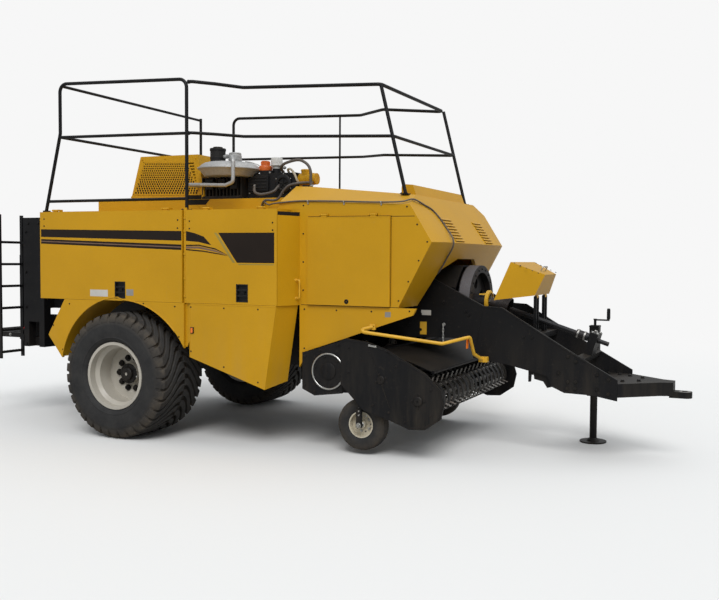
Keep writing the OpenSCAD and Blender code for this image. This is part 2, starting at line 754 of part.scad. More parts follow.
module front_cover() {
    pin = 8;
    color(yellow) {
        difference() {
            intersection() {
                side_slab([[3855, 1526], [3990, 1900], [4283, 1777], [4195, 1570]], -700, 700);
                cover_plan(0);
            }
            intersection() {
                side_slab([[3700, 1450], [4128, 1450], [4262, 1766], [3880, 1925], [3700, 1925]], -700, 700);
                cover_plan(22);
            }
        }
        difference() {
            mirrored_y() {
                bar_y(cover_x, cover_z, 16, -190, -130);
                block([cover_x - 8, -190, cover_z], [cover_x + 14, -130, cover_z + 30]);
            }
            bar_y(cover_x, cover_z, pin + run_gap, -300, 300);
        }
    }
}

// The tongue's side plates run forward from the frame past the flywheel.
tongue_in = tongue_half - tongue_t;
module tongue() {
    outline = [[1950, chamber_base], [2080, chamber_base], [2080, 1115], [3560, 1130], [3620, 935], [3970, 890],
        [4375, 800], [4420, 700], [4545, 646], [4815, 640], [5050, 600], [5050, 800], [4760, 960],
        [4510, 1100], [3910, 1450], [3720, 1460], [3150, 1740], [1950, 1740]];
    color(black) {
        difference() {
            union() {
                mirrored_y() side_slab(outline, -tongue_half, -tongue_in);
                block([2230, -tongue_in - eps, 1120], [2970, tongue_in + eps, 1150]);
                block([3030, -tongue_in - eps, 1120], [3060, tongue_in + eps, 1500]);
                block([3640, -tongue_in - eps, 940], [3700, tongue_in + eps, 1010]);
                block([4100, -tongue_in - eps, 1140], [4260, tongue_in + eps, 1190]);
            }
            bar_x(0, flywheel_z, 70, 3020, 3070);
        }
        mirrored_y() for (y = [-210, -125]) difference() {
            union() {
                block([cover_x - 15, y, 1190 - eps], [cover_x + 15, y + 15, cover_z]);
                bar_y(cover_x, cover_z, 15, y, y + 15);
            }
        }
        mirrored_y() bar_y(cover_x, cover_z, 8, -215, -105);
        along_line() {
            difference() {
                union() {
                    block([line_len - 40, -110, -200], [line_len + 40, 110, 70]);
                    block([line_len - 40, -tongue_in - eps, -200], [line_len + 40, tongue_in + eps, -150]);
                }
                bar_x(0, 0, 25 + run_gap, line_len - 41, line_len + 41);
            }
        }
        side_slab([[4130, 880], [4410, 900], [4410, 690], [4370, 680], [4330, 740], [4240, 760],
            [4235, 800], [4205, 800], [4200, 730], [4180, 730], [4180, 860]], -tongue_in - eps, -tongue_in + 40);
    }
}
module hitch() {
    color(black) difference() {
        union() {
            linear_extrude_between(hitch_z - 10, hitch_z + 120)
                polygon([[4760, -tongue_in], [5050, -tongue_in], [5400, -130], [5520, -85], [5520, 85],
                    [5400, 130], [5050, tongue_in], [4760, tongue_in]]);
            translate([hitch_x, 0, hitch_z - 30]) cylinder(r = hitch_eye_r, h = 60);
            block([5480, -hitch_eye_r, hitch_z - 30], [hitch_x, hitch_eye_r, hitch_z + 30]);
        }
        translate([hitch_x, 0, hitch_z - 31]) cylinder(d = hitch_d, h = 62);
    }
}
module jack_tube() {
    y = tongue_half + 62;
    color(black) difference() {
        union() {
            block([jack_x - 50, y - 50, 540], [jack_x + 50, y + 50, 1240]);
            block([jack_x - 80, tongue_half, 700], [jack_x + 80, y - 45, 920]);
            translate([jack_x, y, 1239]) cylinder(r = 14, h = 70);
            block([jack_x - 14, y - 10, 1290], [jack_x + 150, y + 10, 1306]);
        }
        translate([jack_x, y, 530]) cylinder(r = jack_r + 0.5, h = 695);
    }
}
module jack_leg() {
    y = tongue_half + 62;
    color(black) {
        translate([jack_x, y, 10]) cylinder(r = jack_r, h = 880);
        translate([jack_x, y, 0]) cylinder(r = 140, h = 14);
    }
}

// The cutting rotor's side plates and floor, and the stubs that the pickup swings on.
module rotor_housing() {
    out = 625;
    in = 600;
    stub_end = 1138;
    color(black) {
        mirrored_y() {
            difference() {
                side_slab([[1800, beam_z], [1960, 560], [2250, 520], [2480, 530], [2650, 700], [2650, 1000],
                    [2480, 1080], [chamber_front + 5, 1080], [chamber_front + 5, chamber_base - 5],
                    [1800, chamber_base - 5]], -out, -in);
                bar_y(pivot_x, pivot_z, 35 + run_gap, -out - 1, -in + 1);
            }
            bar_y(pivot_x, pivot_z, pivot_r, -stub_end - 12, -out + eps);
            // The plate over the drive, with its round cover.
            side_slab([[2060, 620], [2060, 985], [2160, 1010], [2505, 1120], [2505, 600], [2200, 560]],
                -stub_end, 20 - stub_end);
            bar_y(pivot_x, pivot_z, 180, -stub_end - 12, -stub_end + eps);
        }
        translate([pivot_x, in + eps, pivot_z]) rotate([90, 0, 0]) rotate([0, 0, 215])
            rotate_extrude(angle = 100, $fn = 96) translate([rotor_r + 12, 0]) square([15, 2 * (in + eps)]);
    }
}
module rotor() {
    core = 95;
    reach = 580;
    color(steel) {
        bar_y(pivot_x, pivot_z, core, -reach, reach);
        bar_y(pivot_x, pivot_z, 35, -622, 622);
        for (i = [0:star_n - 1]) let (y = -reach + 30 + i * (2 * reach - 60) / (star_n - 1))
            translate([pivot_x, y + 6, pivot_z]) rotate([90, 0, 0]) rotate([0, 0, i * 13])
                linear_extrude(12) polygon([for (k = [0:4], c = [[0, 1], [8, 1], [20, 0], [64, 0]])
                    let (r = c[1] == 1 ? rotor_r : core - 10) r * [cos(k * 72 + c[0]), sin(k * 72 + c[0])]]);
    }
}

arm_out = 1110;
arm_in = 1085;
module pickup() {
    out = pickup_half;
    in = pickup_half - pickup_t;
    plate = [[2512, 700], [2512, 1125], [2568, 1145], [2794, 1123], [3000, 1060], [3190, 960], [3400, 850],
        [3560, 700], [3595, 585], [3560, 430], [3400, 320], [3240, 310], [3050, 380], [2900, 420], [2760, 460]];
    color(black) {
        mirrored_y() {
            difference() {
                union() {
                    side_slab(plate, -out, -in);
                    side_slab([[2300, 740], [2300, 880], [2400, 895], [2700, 950], [2700, 740], [2400, 722]],
                        -arm_out, -arm_in);
                    bar_y(pivot_x, pivot_z, pivot_r + 35, -arm_out, -arm_in);
                    block([2540, -in - eps, 760], [2700, -arm_out + eps, 930]);
                    bar_y(gauge_x, gauge_z + 200, 24, -in - eps, -1130);
                    block([gauge_x - 30, -1140, gauge_z - 20], [gauge_x + 30, -1122, gauge_z + 224]);
                    bar_y(gauge_x, gauge_z, 20, -1130, -gauge_y + 60);
                }
                bar_y(pivot_x, pivot_z, pivot_r + run_gap, -arm_out - 1, -arm_in + 1);
                bar_y(reel_x, reel_z, 25 + run_gap, -in - 10, -in + 1);
                bar_y(auger_x, auger_z, 30 + run_gap, -in - 10, -in + 1);
            }
        }
        bar_y(beam_tube_x, beam_tube_z, beam_tube_r, -in - eps, in + eps);
        bar_y(2720, 1000, 30, -in - eps, in + eps);
        // The trough under the auger; its front lip carries the bands.
        translate([auger_x, in + eps, auger_z]) rotate([90, 0, 0]) rotate([0, 0, 200])
            rotate_extrude(angle = 140, $fn = 96) translate([trough_r, 0]) square([trough_t, 2 * (in + eps)]);
        // Bands that the reel's tines comb between, carried by the trough's lip and by the tube below.
        for (i = [0:tine_n]) let (y = tine_y(i) - tine_pitch / 2) {
            translate([reel_x, y + band_w / 2, reel_z]) rotate([90, 0, 0]) rotate([0, 0, -140])
                rotate_extrude(angle = 143 + band_turn, $fn = 96) translate([reel_band_r, 0]) square([band_t, band_w]);
            translate([reel_x, y - leg_w / 2, reel_z]) rotate([0, -band_turn, 0]) translate([reel_band_r - 5, 0, 0])
                cube([auger_away - trough_r - trough_t / 2 - reel_band_r + 5, leg_w, band_t]);
            side_slab([[reel_x - 111, reel_z - 114], [reel_x - 111, reel_z - 120],
                [beam_tube_x, beam_tube_z - 6], [beam_tube_x, beam_tube_z]], y - leg_w / 2, y + leg_w / 2);
        }
    }
}
reel_band_r = 165;
band_w = 60;
band_t = 5;
leg_w = band_w - 6;
trough_r = auger_r + 12;
trough_t = 8;
auger_away = norm([reel_x - auger_x, auger_z - reel_z]);
band_turn = atan2(auger_z - reel_z, auger_x - reel_x);
beam_tube_x = 2900;
beam_tube_z = 540;
beam_tube_r = 50;
drum_edge = 72;
tine_pitch = 2 * (pickup_half - pickup_t - drum_edge - band_w / 2) / tine_n;
function tine_y(i) = -tine_pitch * tine_n / 2 + tine_pitch * (i + 0.5);
module reel() {
    in = pickup_half - pickup_t;
    bar_r = 125;
    color(steel) {
        bar_y(reel_x, reel_z, 25, -in - 8, in + 8);
        for (y = [-in + 30, 0, in - 38]) bar_y(reel_x, reel_z, bar_r + 20, y - 4, y + 4);
        for (k = [0:tine_bars - 1]) let (a = k * 360 / tine_bars + 20)
            translate([reel_x, 0, reel_z]) rotate([0, a, 0]) {
                bar_y(0, bar_r, 14, -in + 26, in - 34);
                for (i = [0:tine_n - 1], d = [-12, 12])
                    translate([0, tine_y(i) + d, bar_r]) cylinder(r = 4, h = reel_r - bar_r, $fn = 6);
            }
    }
}
// One helical flight about the Z axis, from a tube's wall out to the flight's edge.
module flight(r0, r1, len, turns, t) {
    n = ceil(20 * abs(turns));
    section = [[r0, 0], [r1, 0], [r1, t], [r0, t]];
    verts = [for (i = [0:n]) let (a = 360 * turns * i / n)
        each [for (p = section) [p[0] * cos(a), p[0] * sin(a), p[1] + (len - t) * i / n]]];
    walls = [for (i = [0:n - 1], k = [0:3]) let (a = i * 4 + k, b = i * 4 + (k + 1) % 4)
        each turns > 0 ? [[a, b, b + 4], [a, b + 4, a + 4]] : [[a, b + 4, b], [a, a + 4, b + 4]]];
    ends = turns > 0 ? [[3, 2, 1, 0], [4 * n, 4 * n + 1, 4 * n + 2, 4 * n + 3]]
        : [[0, 1, 2, 3], [4 * n + 3, 4 * n + 2, 4 * n + 1, 4 * n]];
    polyhedron(verts, concat(walls, ends));
}
module auger() {
    in = pickup_half - pickup_t;
    tube = 60;
    len = 480;
    color(black) {
        bar_y(auger_x, auger_z, tube, -in + 12, in - 12);
        bar_y(auger_x, auger_z, 30, -in - 8, in + 8);
        for (s = [-1, 1]) translate([auger_x, s > 0 ? in - 15 : 15 - in + len, auger_z]) rotate([90, 0, 0])
            flight(tube - 4, auger_r, len, s * 1.5, 8);
    }
}
module wind_guard() {
    in = pickup_half - pickup_t;
    color(black) {
        side_slab([[2850, 1020], [2850, 1028], [3240, 918], [3420, 850], [3420, 842], [3238, 910]], -in + 120, in - 120);
        mirrored_y() block([2850, -in, 1000], [2880, -in + 140, 1030]);
        bar_y(3420, 846, 16, -in + 120, in - 120);
    }
}
module guard_tube() {
    color(yellow) {
        swept_tube(rounded([[2820, -hood_half - 16, 1262], [2700, -1250, 1230], [3500, -1010, 1122],
            [3690, -760, 1175], [3690, -640, 1000], [3730, -480, 925]], 32, 4), 17, 12);
        block([3690, -500, 905], [3780, -tongue_half, 960]);
        block([2790, -hood_half - 22, 1235], [2850, -hood_half, 1290]);
    }
}

module gauge_tyre() {
    r = gauge_d / 2;
    w = gauge_w / 2;
    translate([gauge_x, -gauge_y, gauge_z]) rotate([90, 0, 0]) rotate_extrude($fn = 48)
        polygon([[130.5, -w * 0.8], [150, -w * 0.95], [r - 55, -w], [r - 12, -w * 0.85], [r, -w * 0.5],
            [r, w * 0.5], [r - 12, w * 0.85], [r - 55, w], [150, w * 0.95], [130.5, w * 0.8]]);
}
module gauge_rim() {
    w = gauge_w / 2;
    translate([gauge_x, -gauge_y, gauge_z]) rotate([90, 0, 0]) difference() {
        rotate_extrude($fn = 48) polygon([[21, -30], [40, -30], [40, -8], [118, -8], [118, -w * 0.8 - 4],
            [130, -w * 0.8 - 4], [130, w * 0.8 + 4], [118, w * 0.8 + 4], [118, 0], [40, 0], [40, 50], [21, 50]]);
        for (k = [0:4]) rotate([0, 0, k * 72]) translate([80, 0, -40]) cylinder(r = 9, h = 80, $fn = 24);
    }
}
module gauge_tyres_right() { color([0.05, 0.05, 0.05]) gauge_tyre(); }
module gauge_tyres_left() { mirror([0, 1, 0]) gauge_tyres_right(); }
module gauge_rims_right() { color([0.85, 0.83, 0.75]) gauge_rim(); }
module gauge_rims_left() { mirror([0, 1, 0]) gauge_rims_right(); }

module lamps() {
    color([0.95, 0.35, 0.05]) mirrored_y() {
        block([905, -door_half - 14, 1150], [930, -door_half, 1200]);
        block([-1990, -795, 900], [-1980, -715, 960]);
    }
}

centred() axle();
centred() frame();
centred() bale_chamber();
centred() tension_frame();
centred() density_cylinders();
centred() plunger();
centred() chute();
centred() twine_box_right();
centred() twine_box_left();
centred() door_rear_right();
centred() door_rear_left();
centred() door_front_right();
centred() door_front_left();
centred() fender_right();
centred() fender_left();
centred() shield_right();
centred() shield_left();
centred() deck();
centred() hood();
centred() hood_door_right();
centred() hood_door_left();
centred() skirt_right();
centred() skirt_left();
centred() fan_box();
centred() engine();
centred() engine_blower();
centred() air_cleaner();
centred() rails_rear();
centred() rails_front();
centred() ladder();
centred() gearbox();
centred() flywheel_cover();
centred() flywheel();
centred() driveline();
centred() front_cover();
centred() tongue();
centred() hitch();
centred() jack_tube();
centred() jack_leg();
centred() rotor_housing();
centred() rotor();
centred() pickup();
centred() reel();
centred() auger();
centred() wind_guard();
centred() guard_tube();
centred() gauge_tyres_right();
centred() gauge_tyres_left();
centred() gauge_rims_right();
centred() gauge_rims_left();
centred() tyre_right();
centred() tyre_left();
centred() rim_right();
centred() rim_left();
centred() lamps();
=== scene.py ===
"""Looks of the large square baler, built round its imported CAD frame.

Places are in metres from the main axle, X forward, Y left and Z up, as in the part's source.
"""

import json
import math

import bmesh
import bpy
from mathutils import Matrix, Vector


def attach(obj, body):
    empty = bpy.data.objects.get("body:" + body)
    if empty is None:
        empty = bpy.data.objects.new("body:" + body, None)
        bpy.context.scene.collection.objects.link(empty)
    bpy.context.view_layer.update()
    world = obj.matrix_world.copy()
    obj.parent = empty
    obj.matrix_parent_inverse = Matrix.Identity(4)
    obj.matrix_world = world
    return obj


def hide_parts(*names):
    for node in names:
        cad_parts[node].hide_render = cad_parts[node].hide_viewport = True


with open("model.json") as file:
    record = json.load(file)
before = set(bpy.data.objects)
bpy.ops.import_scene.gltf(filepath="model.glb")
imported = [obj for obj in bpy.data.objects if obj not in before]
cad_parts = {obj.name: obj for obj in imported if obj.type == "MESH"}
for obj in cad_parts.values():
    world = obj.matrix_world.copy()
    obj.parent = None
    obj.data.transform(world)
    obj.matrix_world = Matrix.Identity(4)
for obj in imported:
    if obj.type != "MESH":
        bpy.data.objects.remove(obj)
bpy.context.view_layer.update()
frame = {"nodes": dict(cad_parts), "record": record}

# The frame's origin stands this far ahead of the axle.
MIDDLE = 1.29
AXLE_Z = 0.6665
RIGHT = -1
LEFT = 1
SIDES = (RIGHT, LEFT)
# Thickness of films and of painted seams.
FILM = 0.0006
SIDE_NAME = {RIGHT: "right", LEFT: "left"}
BOX_FACES = [(0, 3, 2, 1), (4, 5, 6, 7), (0, 1, 5, 4), (1, 2, 6, 5), (2, 3, 7, 6), (3, 0, 4, 7)]


# Shapes: faces are gathered in a Mesh and made into one piece.


def unit(v):
    return Vector(v).normalized()


def basis(direction, towards=(0, 0, 1)):
    """Rotation whose Z runs along direction."""
    z = unit(direction)
    x = Vector(towards)
    x = x - z * x.dot(z)
    if x.length < 1e-4:
        x = Vector((1, 0, 0)) - z * z.x
    x.normalize()
    return Matrix((x, z.cross(x), z)).transposed().to_4x4()


def placed(point, direction=(0, 0, 1), towards=(0, 0, 1)):
    return Matrix.Translation(Vector(point)) @ basis(direction, towards)


def rounded(route, radius, steps=6):
    """A route with its inner corners turned into arcs."""
    points = [Vector(p) for p in route]
    out = [points[0]]
    for a, b, c in zip(points, points[1:], points[2:]):
        u = (a - b).normalized()
        v = (c - b).normalized()
        half = math.acos(max(-1, min(1, u.dot(v)))) / 2
        if half > math.pi / 2 - 0.01:
            out.append(b)
            continue
        back = radius / math.tan(half)
        centre = b + (u + v).normalized() * radius / math.sin(half)
        p = b + u * back - centre
        q = b + v * back - centre
        turn = math.pi - 2 * half
        for i in range(steps + 1):
            t = i / steps
            out.append(centre + (p * math.sin(turn * (1 - t)) + q * math.sin(turn * t)) / math.sin(turn))
    out.append(points[-1])
    return out


def smooth_route(route, steps=6):
    """A soft curve through points, for hoses and cables."""
    points = [Vector(p) for p in route]
    ends = [points[0] * 2 - points[1]] + points + [points[-1] * 2 - points[-2]]
    out = []
    for i in range(1, len(ends) - 2):
        a, b, c, d = ends[i - 1:i + 3]
        for k in range(steps):
            t = k / steps
            out.append(0.5 * (2 * b + (c - a) * t + (2 * a - 5 * b + 4 * c - d) * t * t
                              + (3 * b - a - 3 * c + d) * t ** 3))
    out.append(points[-1])
    return out


def circle(radius, count, h=0.0, start=0.0):
    """Places round Z at a height."""
    angles = [start + 2 * math.pi * i / count for i in range(count)]
    return [Vector((radius * math.cos(a), radius * math.sin(a), h)) for a in angles]


def wheel_circle(radius, count, y, start=0.0):
    """Places round Y."""
    return [Vector((p.x, y, p.y)) for p in circle(radius, count, 0.0, start)]


def turns(count, start=0.0):
    """Rotations about Z that share out a full turn."""
    return [Matrix.Rotation(start + 2 * math.pi * i / count, 4, "Z") for i in range(count)]


def rect(x0, z0, x1, z1):
    return [(x0, z0), (x1, z0), (x1, z1), (x0, z1)]


def hem(start, end, width, past=0.0):
    """Outline of a strip along the right of a line, longer than it by past at both ends."""
    a = Vector(start)
    b = Vector(end)
    along = (b - a).normalized()
    out = Vector((along.y, -along.x)) * width
    a = a - along * past
    b = b + along * past
    return [tuple(v) for v in (a, b, b + out, a + out)]


class Mesh:
    """Vertices and faces of one piece."""

    def __init__(self):
        self.verts = []
        self.faces = []

    def add(self, verts, faces, place=None):
        base = len(self.verts)
        self.verts += [place @ Vector(v) if place else Vector(v) for v in verts]
        self.faces += [tuple(base + i for i in face) for face in faces]
        return self

    def box(self, low, high, place=None):
        (a, b, c), (d, e, f) = low, high
        verts = [(a, b, c), (d, b, c), (d, e, c), (a, e, c), (a, b, f), (d, b, f), (d, e, f), (a, e, f)]
        return self.add(verts, BOX_FACES, place)

    def loft(self, rings, closed=False, place=None):
        """Walls between rings of equal length; the ends are capped unless the loft is closed."""
        n = len(rings[0])
        count = len(rings)
        faces = []
        for i in range(count if closed else count - 1):
            for k in range(n):
                a = i * n + k
                b = i * n + (k + 1) % n
                c = ((i + 1) % count) * n + (k + 1) % n
                d = ((i + 1) % count) * n + k
                faces.append((a, b, c, d))
        if not closed:
            faces.append(tuple(range(n))[::-1])
            faces.append(tuple((count - 1) * n + k for k in range(n)))
        return self.add([p for ring in rings for p in ring], faces, place)

    def lathe(self, profile, place=None, n=32):
        """A closed (radius, height) outline turned about Z."""
        rings = [[(r * math.cos(a), r * math.sin(a), h) for r, h in profile]
                 for a in [2 * math.pi * i / n for i in range(n)]]
        return self.loft([ring[::-1] for ring in rings], closed=True, place=place)

    def disc(self, radius, h0, h1, place=None, n=24, chamfer=0.0):
        """A solid round, with a chamfered upper edge."""
        levels = [(radius, h0), (radius, h1 - chamfer)]
        if chamfer:
            levels.append((radius - chamfer, h1))
        return self.loft([circle(r, n, h) for r, h in levels], place=place)

    def sleeve(self, inner, outer, half, place, n):
        """A plain ring, reaching half to each side of its place."""
        return self.lathe([(inner, -half), (outer, -half), (outer, half), (inner, half)], place, n)

    def tube(self, route, radius, n=14):
        """A round bar along a route."""
        points = [Vector(p) for p in route]
        last = len(points) - 1
        rings = []
        up = None
        for i, p in enumerate(points):
            ahead = (points[min(i + 1, last)] - points[min(i, last - 1)]).normalized()
            behind = (points[max(i, 1)] - points[max(i - 1, 0)]).normalized()
            d = (ahead + behind).normalized()
            if up is None:
                up = d.cross(Vector((0, 0, 1)) if abs(d.z) < 0.9 else Vector((1, 0, 0)))
            up = (up - d * up.dot(d)).normalized()
            side = d.cross(up)
            r = radius(i / last) if callable(radius) else radius
            rings.append([p + r * (up * math.cos(2 * math.pi * k / n) + side * math.sin(2 * math.pi * k / n))
                          for k in range(n)])
        return self.loft(rings)

    def prism(self, outline, depth, place=None):
        """An outline in XY raised along Z."""
        area = sum(a[0] * b[1] - b[0] * a[1] for a, b in zip(outline, outline[1:] + outline[:1]))
        points = outline if area > 0 else outline[::-1]
        rings = [[(x, y, h) for x, y in points] for h in (0, depth)]
        return self.loft(rings, place=place)

    def plate(self, verts, faces, offset, place=None):
        """A surface given thickness: its faces, the same set back by offset, and walls round its edges."""
        n = len(verts)
        back = Vector(offset)
        points = [Vector(v) for v in verts]
        edges = set()
        for face in faces:
            edges.update(zip(face, face[1:] + face[:1]))
        walls = [(b, a, a + n, b + n) for a, b in edges if (b, a) not in edges]
        far = [tuple(i + n for i in face[::-1]) for face in faces]
        return self.add(points + [p + back for p in points], faces + far + sorted(walls), place)

    def side(self, outline, y, depth):
        """An (x, z) outline lying on the plane y and raised outwards by depth."""
        s = 1 if y > 0 else -1
        place = Matrix(((1, 0, 0, 0), (0, 0, s, y), (0, 1, 0, 0), (0, 0, 0, 1)))
        if s < 0:
            return self.prism(outline, depth, place)
        start = len(self.faces)
        self.prism(outline, depth, place)
        self.faces[start:] = [face[::-1] for face in self.faces[start:]]
        return self

    def bolt(self, point, direction, across=0.024, head=0.012, washer=True):
        """A hexagon head on its washer."""
        place = placed(point, direction)
        if washer:
            self.disc(across * 0.78, -0.002, 0.003, place, 18)
        levels = ((0.577, 0.0), (0.577, head * 0.8), (0.5, head))
        return self.loft([circle(across * r, 6, h) for r, h in levels], place=place)

    def rivet(self, point, direction, radius=0.008, height=0.005):
        """A low round head."""
        levels = ((1.0, -0.001), (1.0, height * 0.3), (0.8, height * 0.75), (0.4, height))
        return self.loft([circle(radius * r, 14, h) for r, h in levels], place=placed(point, direction))

    def rivets(self, spots, y):
        """Rivets at (x, z) places on the side plane y."""
        for x, z in spots:
            self.rivet((x, y, z), (0, 1 if y > 0 else -1, 0), 0.0085, 0.005)

    def bolts(self, spots, y, across, head):
        """Bolts at (x, z) places on the side plane y."""
        for x, z in spots:
            self.bolt((x, y, z), (0, 1 if y > 0 else -1, 0), across, head)

    def moved(self, place):
        """The piece set down elsewhere."""
        self.verts = [place @ v for v in self.verts]
        return self

    def flip(self):
        """Turns the piece into the other side's."""
        self.verts = [Vector((v[0], -v[1], v[2])) for v in self.verts]
        self.faces = [face[::-1] for face in self.faces]
        return self

    def make(self, name, body, material, slot=None, sharp=32, bevel=0.0, centre=None):
        """The piece, riding on its body; centre moves its own zero there, for materials that turn with it."""
        zero = Vector(centre) if centre else Vector((0, 0, 0))
        data = bpy.data.meshes.new(name)
        data.from_pydata([v - zero for v in self.verts], [], self.faces)
        data.validate()
        data.polygons.foreach_set("use_smooth", [True] * len(data.polygons))
        data.set_sharp_from_angle(angle=math.radians(sharp))
        piece = bpy.data.objects.new(name, data)
        bpy.context.scene.collection.objects.link(piece)
        piece.location = zero - Vector((MIDDLE, 0, 0))
        data.materials.append(material)
        if bevel:
            rim = piece.modifiers.new("edges", "BEVEL")
            rim.width = bevel
            rim.segments = 2
            rim.limit_method = "ANGLE"
            rim.angle_limit = math.radians(40)
        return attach(piece, body)


def solid_of(mesh):
    """A closed piece as a Blender object with its faces turned outwards."""
    shape = bmesh.new()
    corners = [shape.verts.new(v) for v in mesh.verts]
    for face in mesh.faces:
        shape.faces.new([corners[i] for i in face])
    bmesh.ops.recalc_face_normals(shape, faces=shape.faces)
    data = bpy.data.meshes.new("solid")
    shape.to_mesh(data)
    shape.free()
    solid = bpy.data.objects.new("solid", data)
    bpy.context.scene.collection.objects.link(solid)
    return solid


def carved(mesh, tools):
    """A closed piece less the closed pieces in tools."""
    body = solid_of(mesh)
    cutters = [solid_of(tool) for tool in tools]
    for cutter in cutters:
        cut = body.modifiers.new("cut", "BOOLEAN")
        cut.operation = "DIFFERENCE"
        cut.solver = "EXACT"
        cut.object = cutter
    data = bpy.data.meshes.new_from_object(body.evaluated_get(bpy.context.evaluated_depsgraph_get()))
    out = Mesh()
    out.verts = [v.co.copy() for v in data.vertices]
    out.faces = [tuple(face.vertices) for face in data.polygons]
    for solid in [body] + cutters:
        bpy.data.objects.remove(solid, do_unlink=True)
    return out


# Materials, all made of nodes that read the object's own coordinates.


class Nodes:
    """The node tree of a material or a world, filled from nothing."""

    def __init__(self, owner):
        owner.use_nodes = True
        self.tree = owner.node_tree
        self.tree.nodes.clear()

    def add(self, kind, inputs=None, **values):
        """A node with its settings, and a value or a link in each input named."""
        node = self.tree.nodes.new(kind)
        for key, value in values.items():
            setattr(node, key, value)
        for key, value in (inputs or {}).items():
            self.put(node.inputs[key], value)
        return node

    def put(self, socket, value):
        if isinstance(value, bpy.types.NodeSocket):
            self.tree.links.new(value, socket)
        else:
            socket.default_value = value

    def span(self, value, low, high, to_low=0.0, to_high=1.0, **values):
        reach = {"Value": value, "From Min": low, "From Max": high, "To Min": to_low, "To Max": to_high}
        return self.add("ShaderNodeMapRange", reach, **values).outputs[0]

    def sum(self, kind, a, b, clamp=True):
        return self.add("ShaderNodeMath", {0: a, 1: b}, operation=kind, use_clamp=clamp).outputs[0]


class Look(Nodes):
    """A material's node tree round one Principled shader."""

    def __init__(self, name, metallic=0.0, coat=0.0, ior=1.45):
        self.material = bpy.data.materials.new(name)
        super().__init__(self.material)
        self.shader = self.add("ShaderNodeBsdfPrincipled", {
            "Metallic": metallic, "Coat Weight": coat, "Coat Roughness": 0.18, "IOR": ior,
            "Specular IOR Level": 0.3})
        self.add("ShaderNodeOutputMaterial", {"Surface": self.shader.outputs["BSDF"]})
        space = self.add("ShaderNodeTexCoord")
        self.place = space.outputs["Object"]
        self.up = self.add("ShaderNodeSeparateXYZ", {0: space.outputs["Normal"]}).outputs["Z"]
        where = self.add("ShaderNodeSeparateXYZ", {0: self.place})
        self.x = where.outputs["X"]
        self.height = where.outputs["Z"]

    def noise(self, scale, detail=4.0, rough=0.6, stretch=None):
        at = self.place
        if stretch:
            at = self.add("ShaderNodeMapping", {"Vector": at, "Scale": stretch}).outputs[0]
        inputs = {"Vector": at, "Scale": scale, "Detail": detail, "Roughness": rough}
        return self.add("ShaderNodeTexNoise", inputs).outputs[0]

    def mix(self, factor, a, b):
        return self.add("ShaderNodeMix", {0: factor, 6: a, 7: b}, data_type="RGBA").outputs[2]

    def done(self, colour, rough, bump, strength, distance):
        self.put(self.shader.inputs["Base Color"], colour)
        self.put(self.shader.inputs["Roughness"], rough)
        node = self.add("ShaderNodeBump", {"Strength": strength, "Distance": distance, "Height": bump})
        self.put(self.shader.inputs["Normal"], node.outputs[0])
        return self.material


def tint(rgb, k):
    return tuple(max(0.0, min(1.0, c * k)) for c in rgb) + (1.0,)


# Pale brown of dust, mud and specks; on up-facing faces it also serves as a painted sheen.
DUST_AND_SHEEN = (0.30, 0.235, 0.155, 1.0)


def enamel(name, rgb, rough=0.32, top_dust_and_sheen=0.35, mud=0.3, coat=0.25, shade=0.12, low=0.4, high=1.5):
    """Sprayed enamel: slow colour change, dust and painted sheen on what faces up, mud low down, dulled where
    dusty.
    """
    look = Look(name, coat=coat)
    slow = look.noise(0.9, 5, 0.6)
    fine = look.noise(60, 3, 0.7)
    streak = look.noise(5, 5, 0.7, stretch=(1.0, 1.0, 0.14))
    base = look.mix(look.span(slow, 0.3, 0.7), tint(rgb, 1 - shade), tint(rgb, 1 + shade * 0.6))
    base = look.mix(look.span(fine, 0.35, 0.8, 0, 0.22), base, tint(rgb, 0.8))
    # Faces that look up are mixed towards the dust colour: partly dust, partly a painted sheen of pale light
    # on tops.
    facing = look.span(look.up, 0.35, 1.0)
    dust_and_sheen_tops = look.sum("MULTIPLY", facing, look.span(streak, 0.3, 0.75, 0.25, 1.0))
    dust_and_sheen_tops = look.sum("MULTIPLY", dust_and_sheen_tops, top_dust_and_sheen)
    soil = look.sum("MULTIPLY", look.span(look.height, low, high, 1, 0), look.span(streak, 0.42, 0.78))
    soil = look.sum("MULTIPLY", soil, mud)
    specks = look.sum("MULTIPLY", look.span(look.noise(19, 6, 0.8), 0.58, 0.78), 0.10 + 0.3 * mud)
    cover = look.sum("MAXIMUM", look.sum("MAXIMUM", dust_and_sheen_tops, soil), specks)
    colour = look.mix(cover, base, DUST_AND_SHEEN)
    shine = look.span(slow, 0.2, 0.8, rough - 0.04, rough + 0.05)
    shine = look.sum("ADD", shine, look.sum("MULTIPLY", cover, 0.5))
    return look.done(colour, shine, look.noise(140, 2, 0.5), 0.05, 0.0006)


def metal(name, rgb, rough=0.4, rust=0.25, metallic=0.9):
    """Bare or worn metal with brown bloom and fine lay marks."""
    look = Look(name, metallic=metallic)
    slow = look.noise(3.5, 5, 0.65)
    fine = look.noise(90, 3, 0.6, stretch=(1.0, 0.12, 1.0))
    base = look.mix(look.span(fine, 0.3, 0.7), tint(rgb, 0.82), tint(rgb, 1.1))
    bloom = look.sum("MULTIPLY", look.span(slow, 0.45, 0.75), rust)
    colour = look.mix(bloom, base, (0.16, 0.085, 0.045, 1))
    shine = look.span(fine, 0.2, 0.8, rough - 0.07, rough + 0.07)
    shine = look.sum("ADD", shine, look.sum("MULTIPLY", bloom, 0.7))
    return look.done(colour, shine, fine, 0.08, 0.0005)


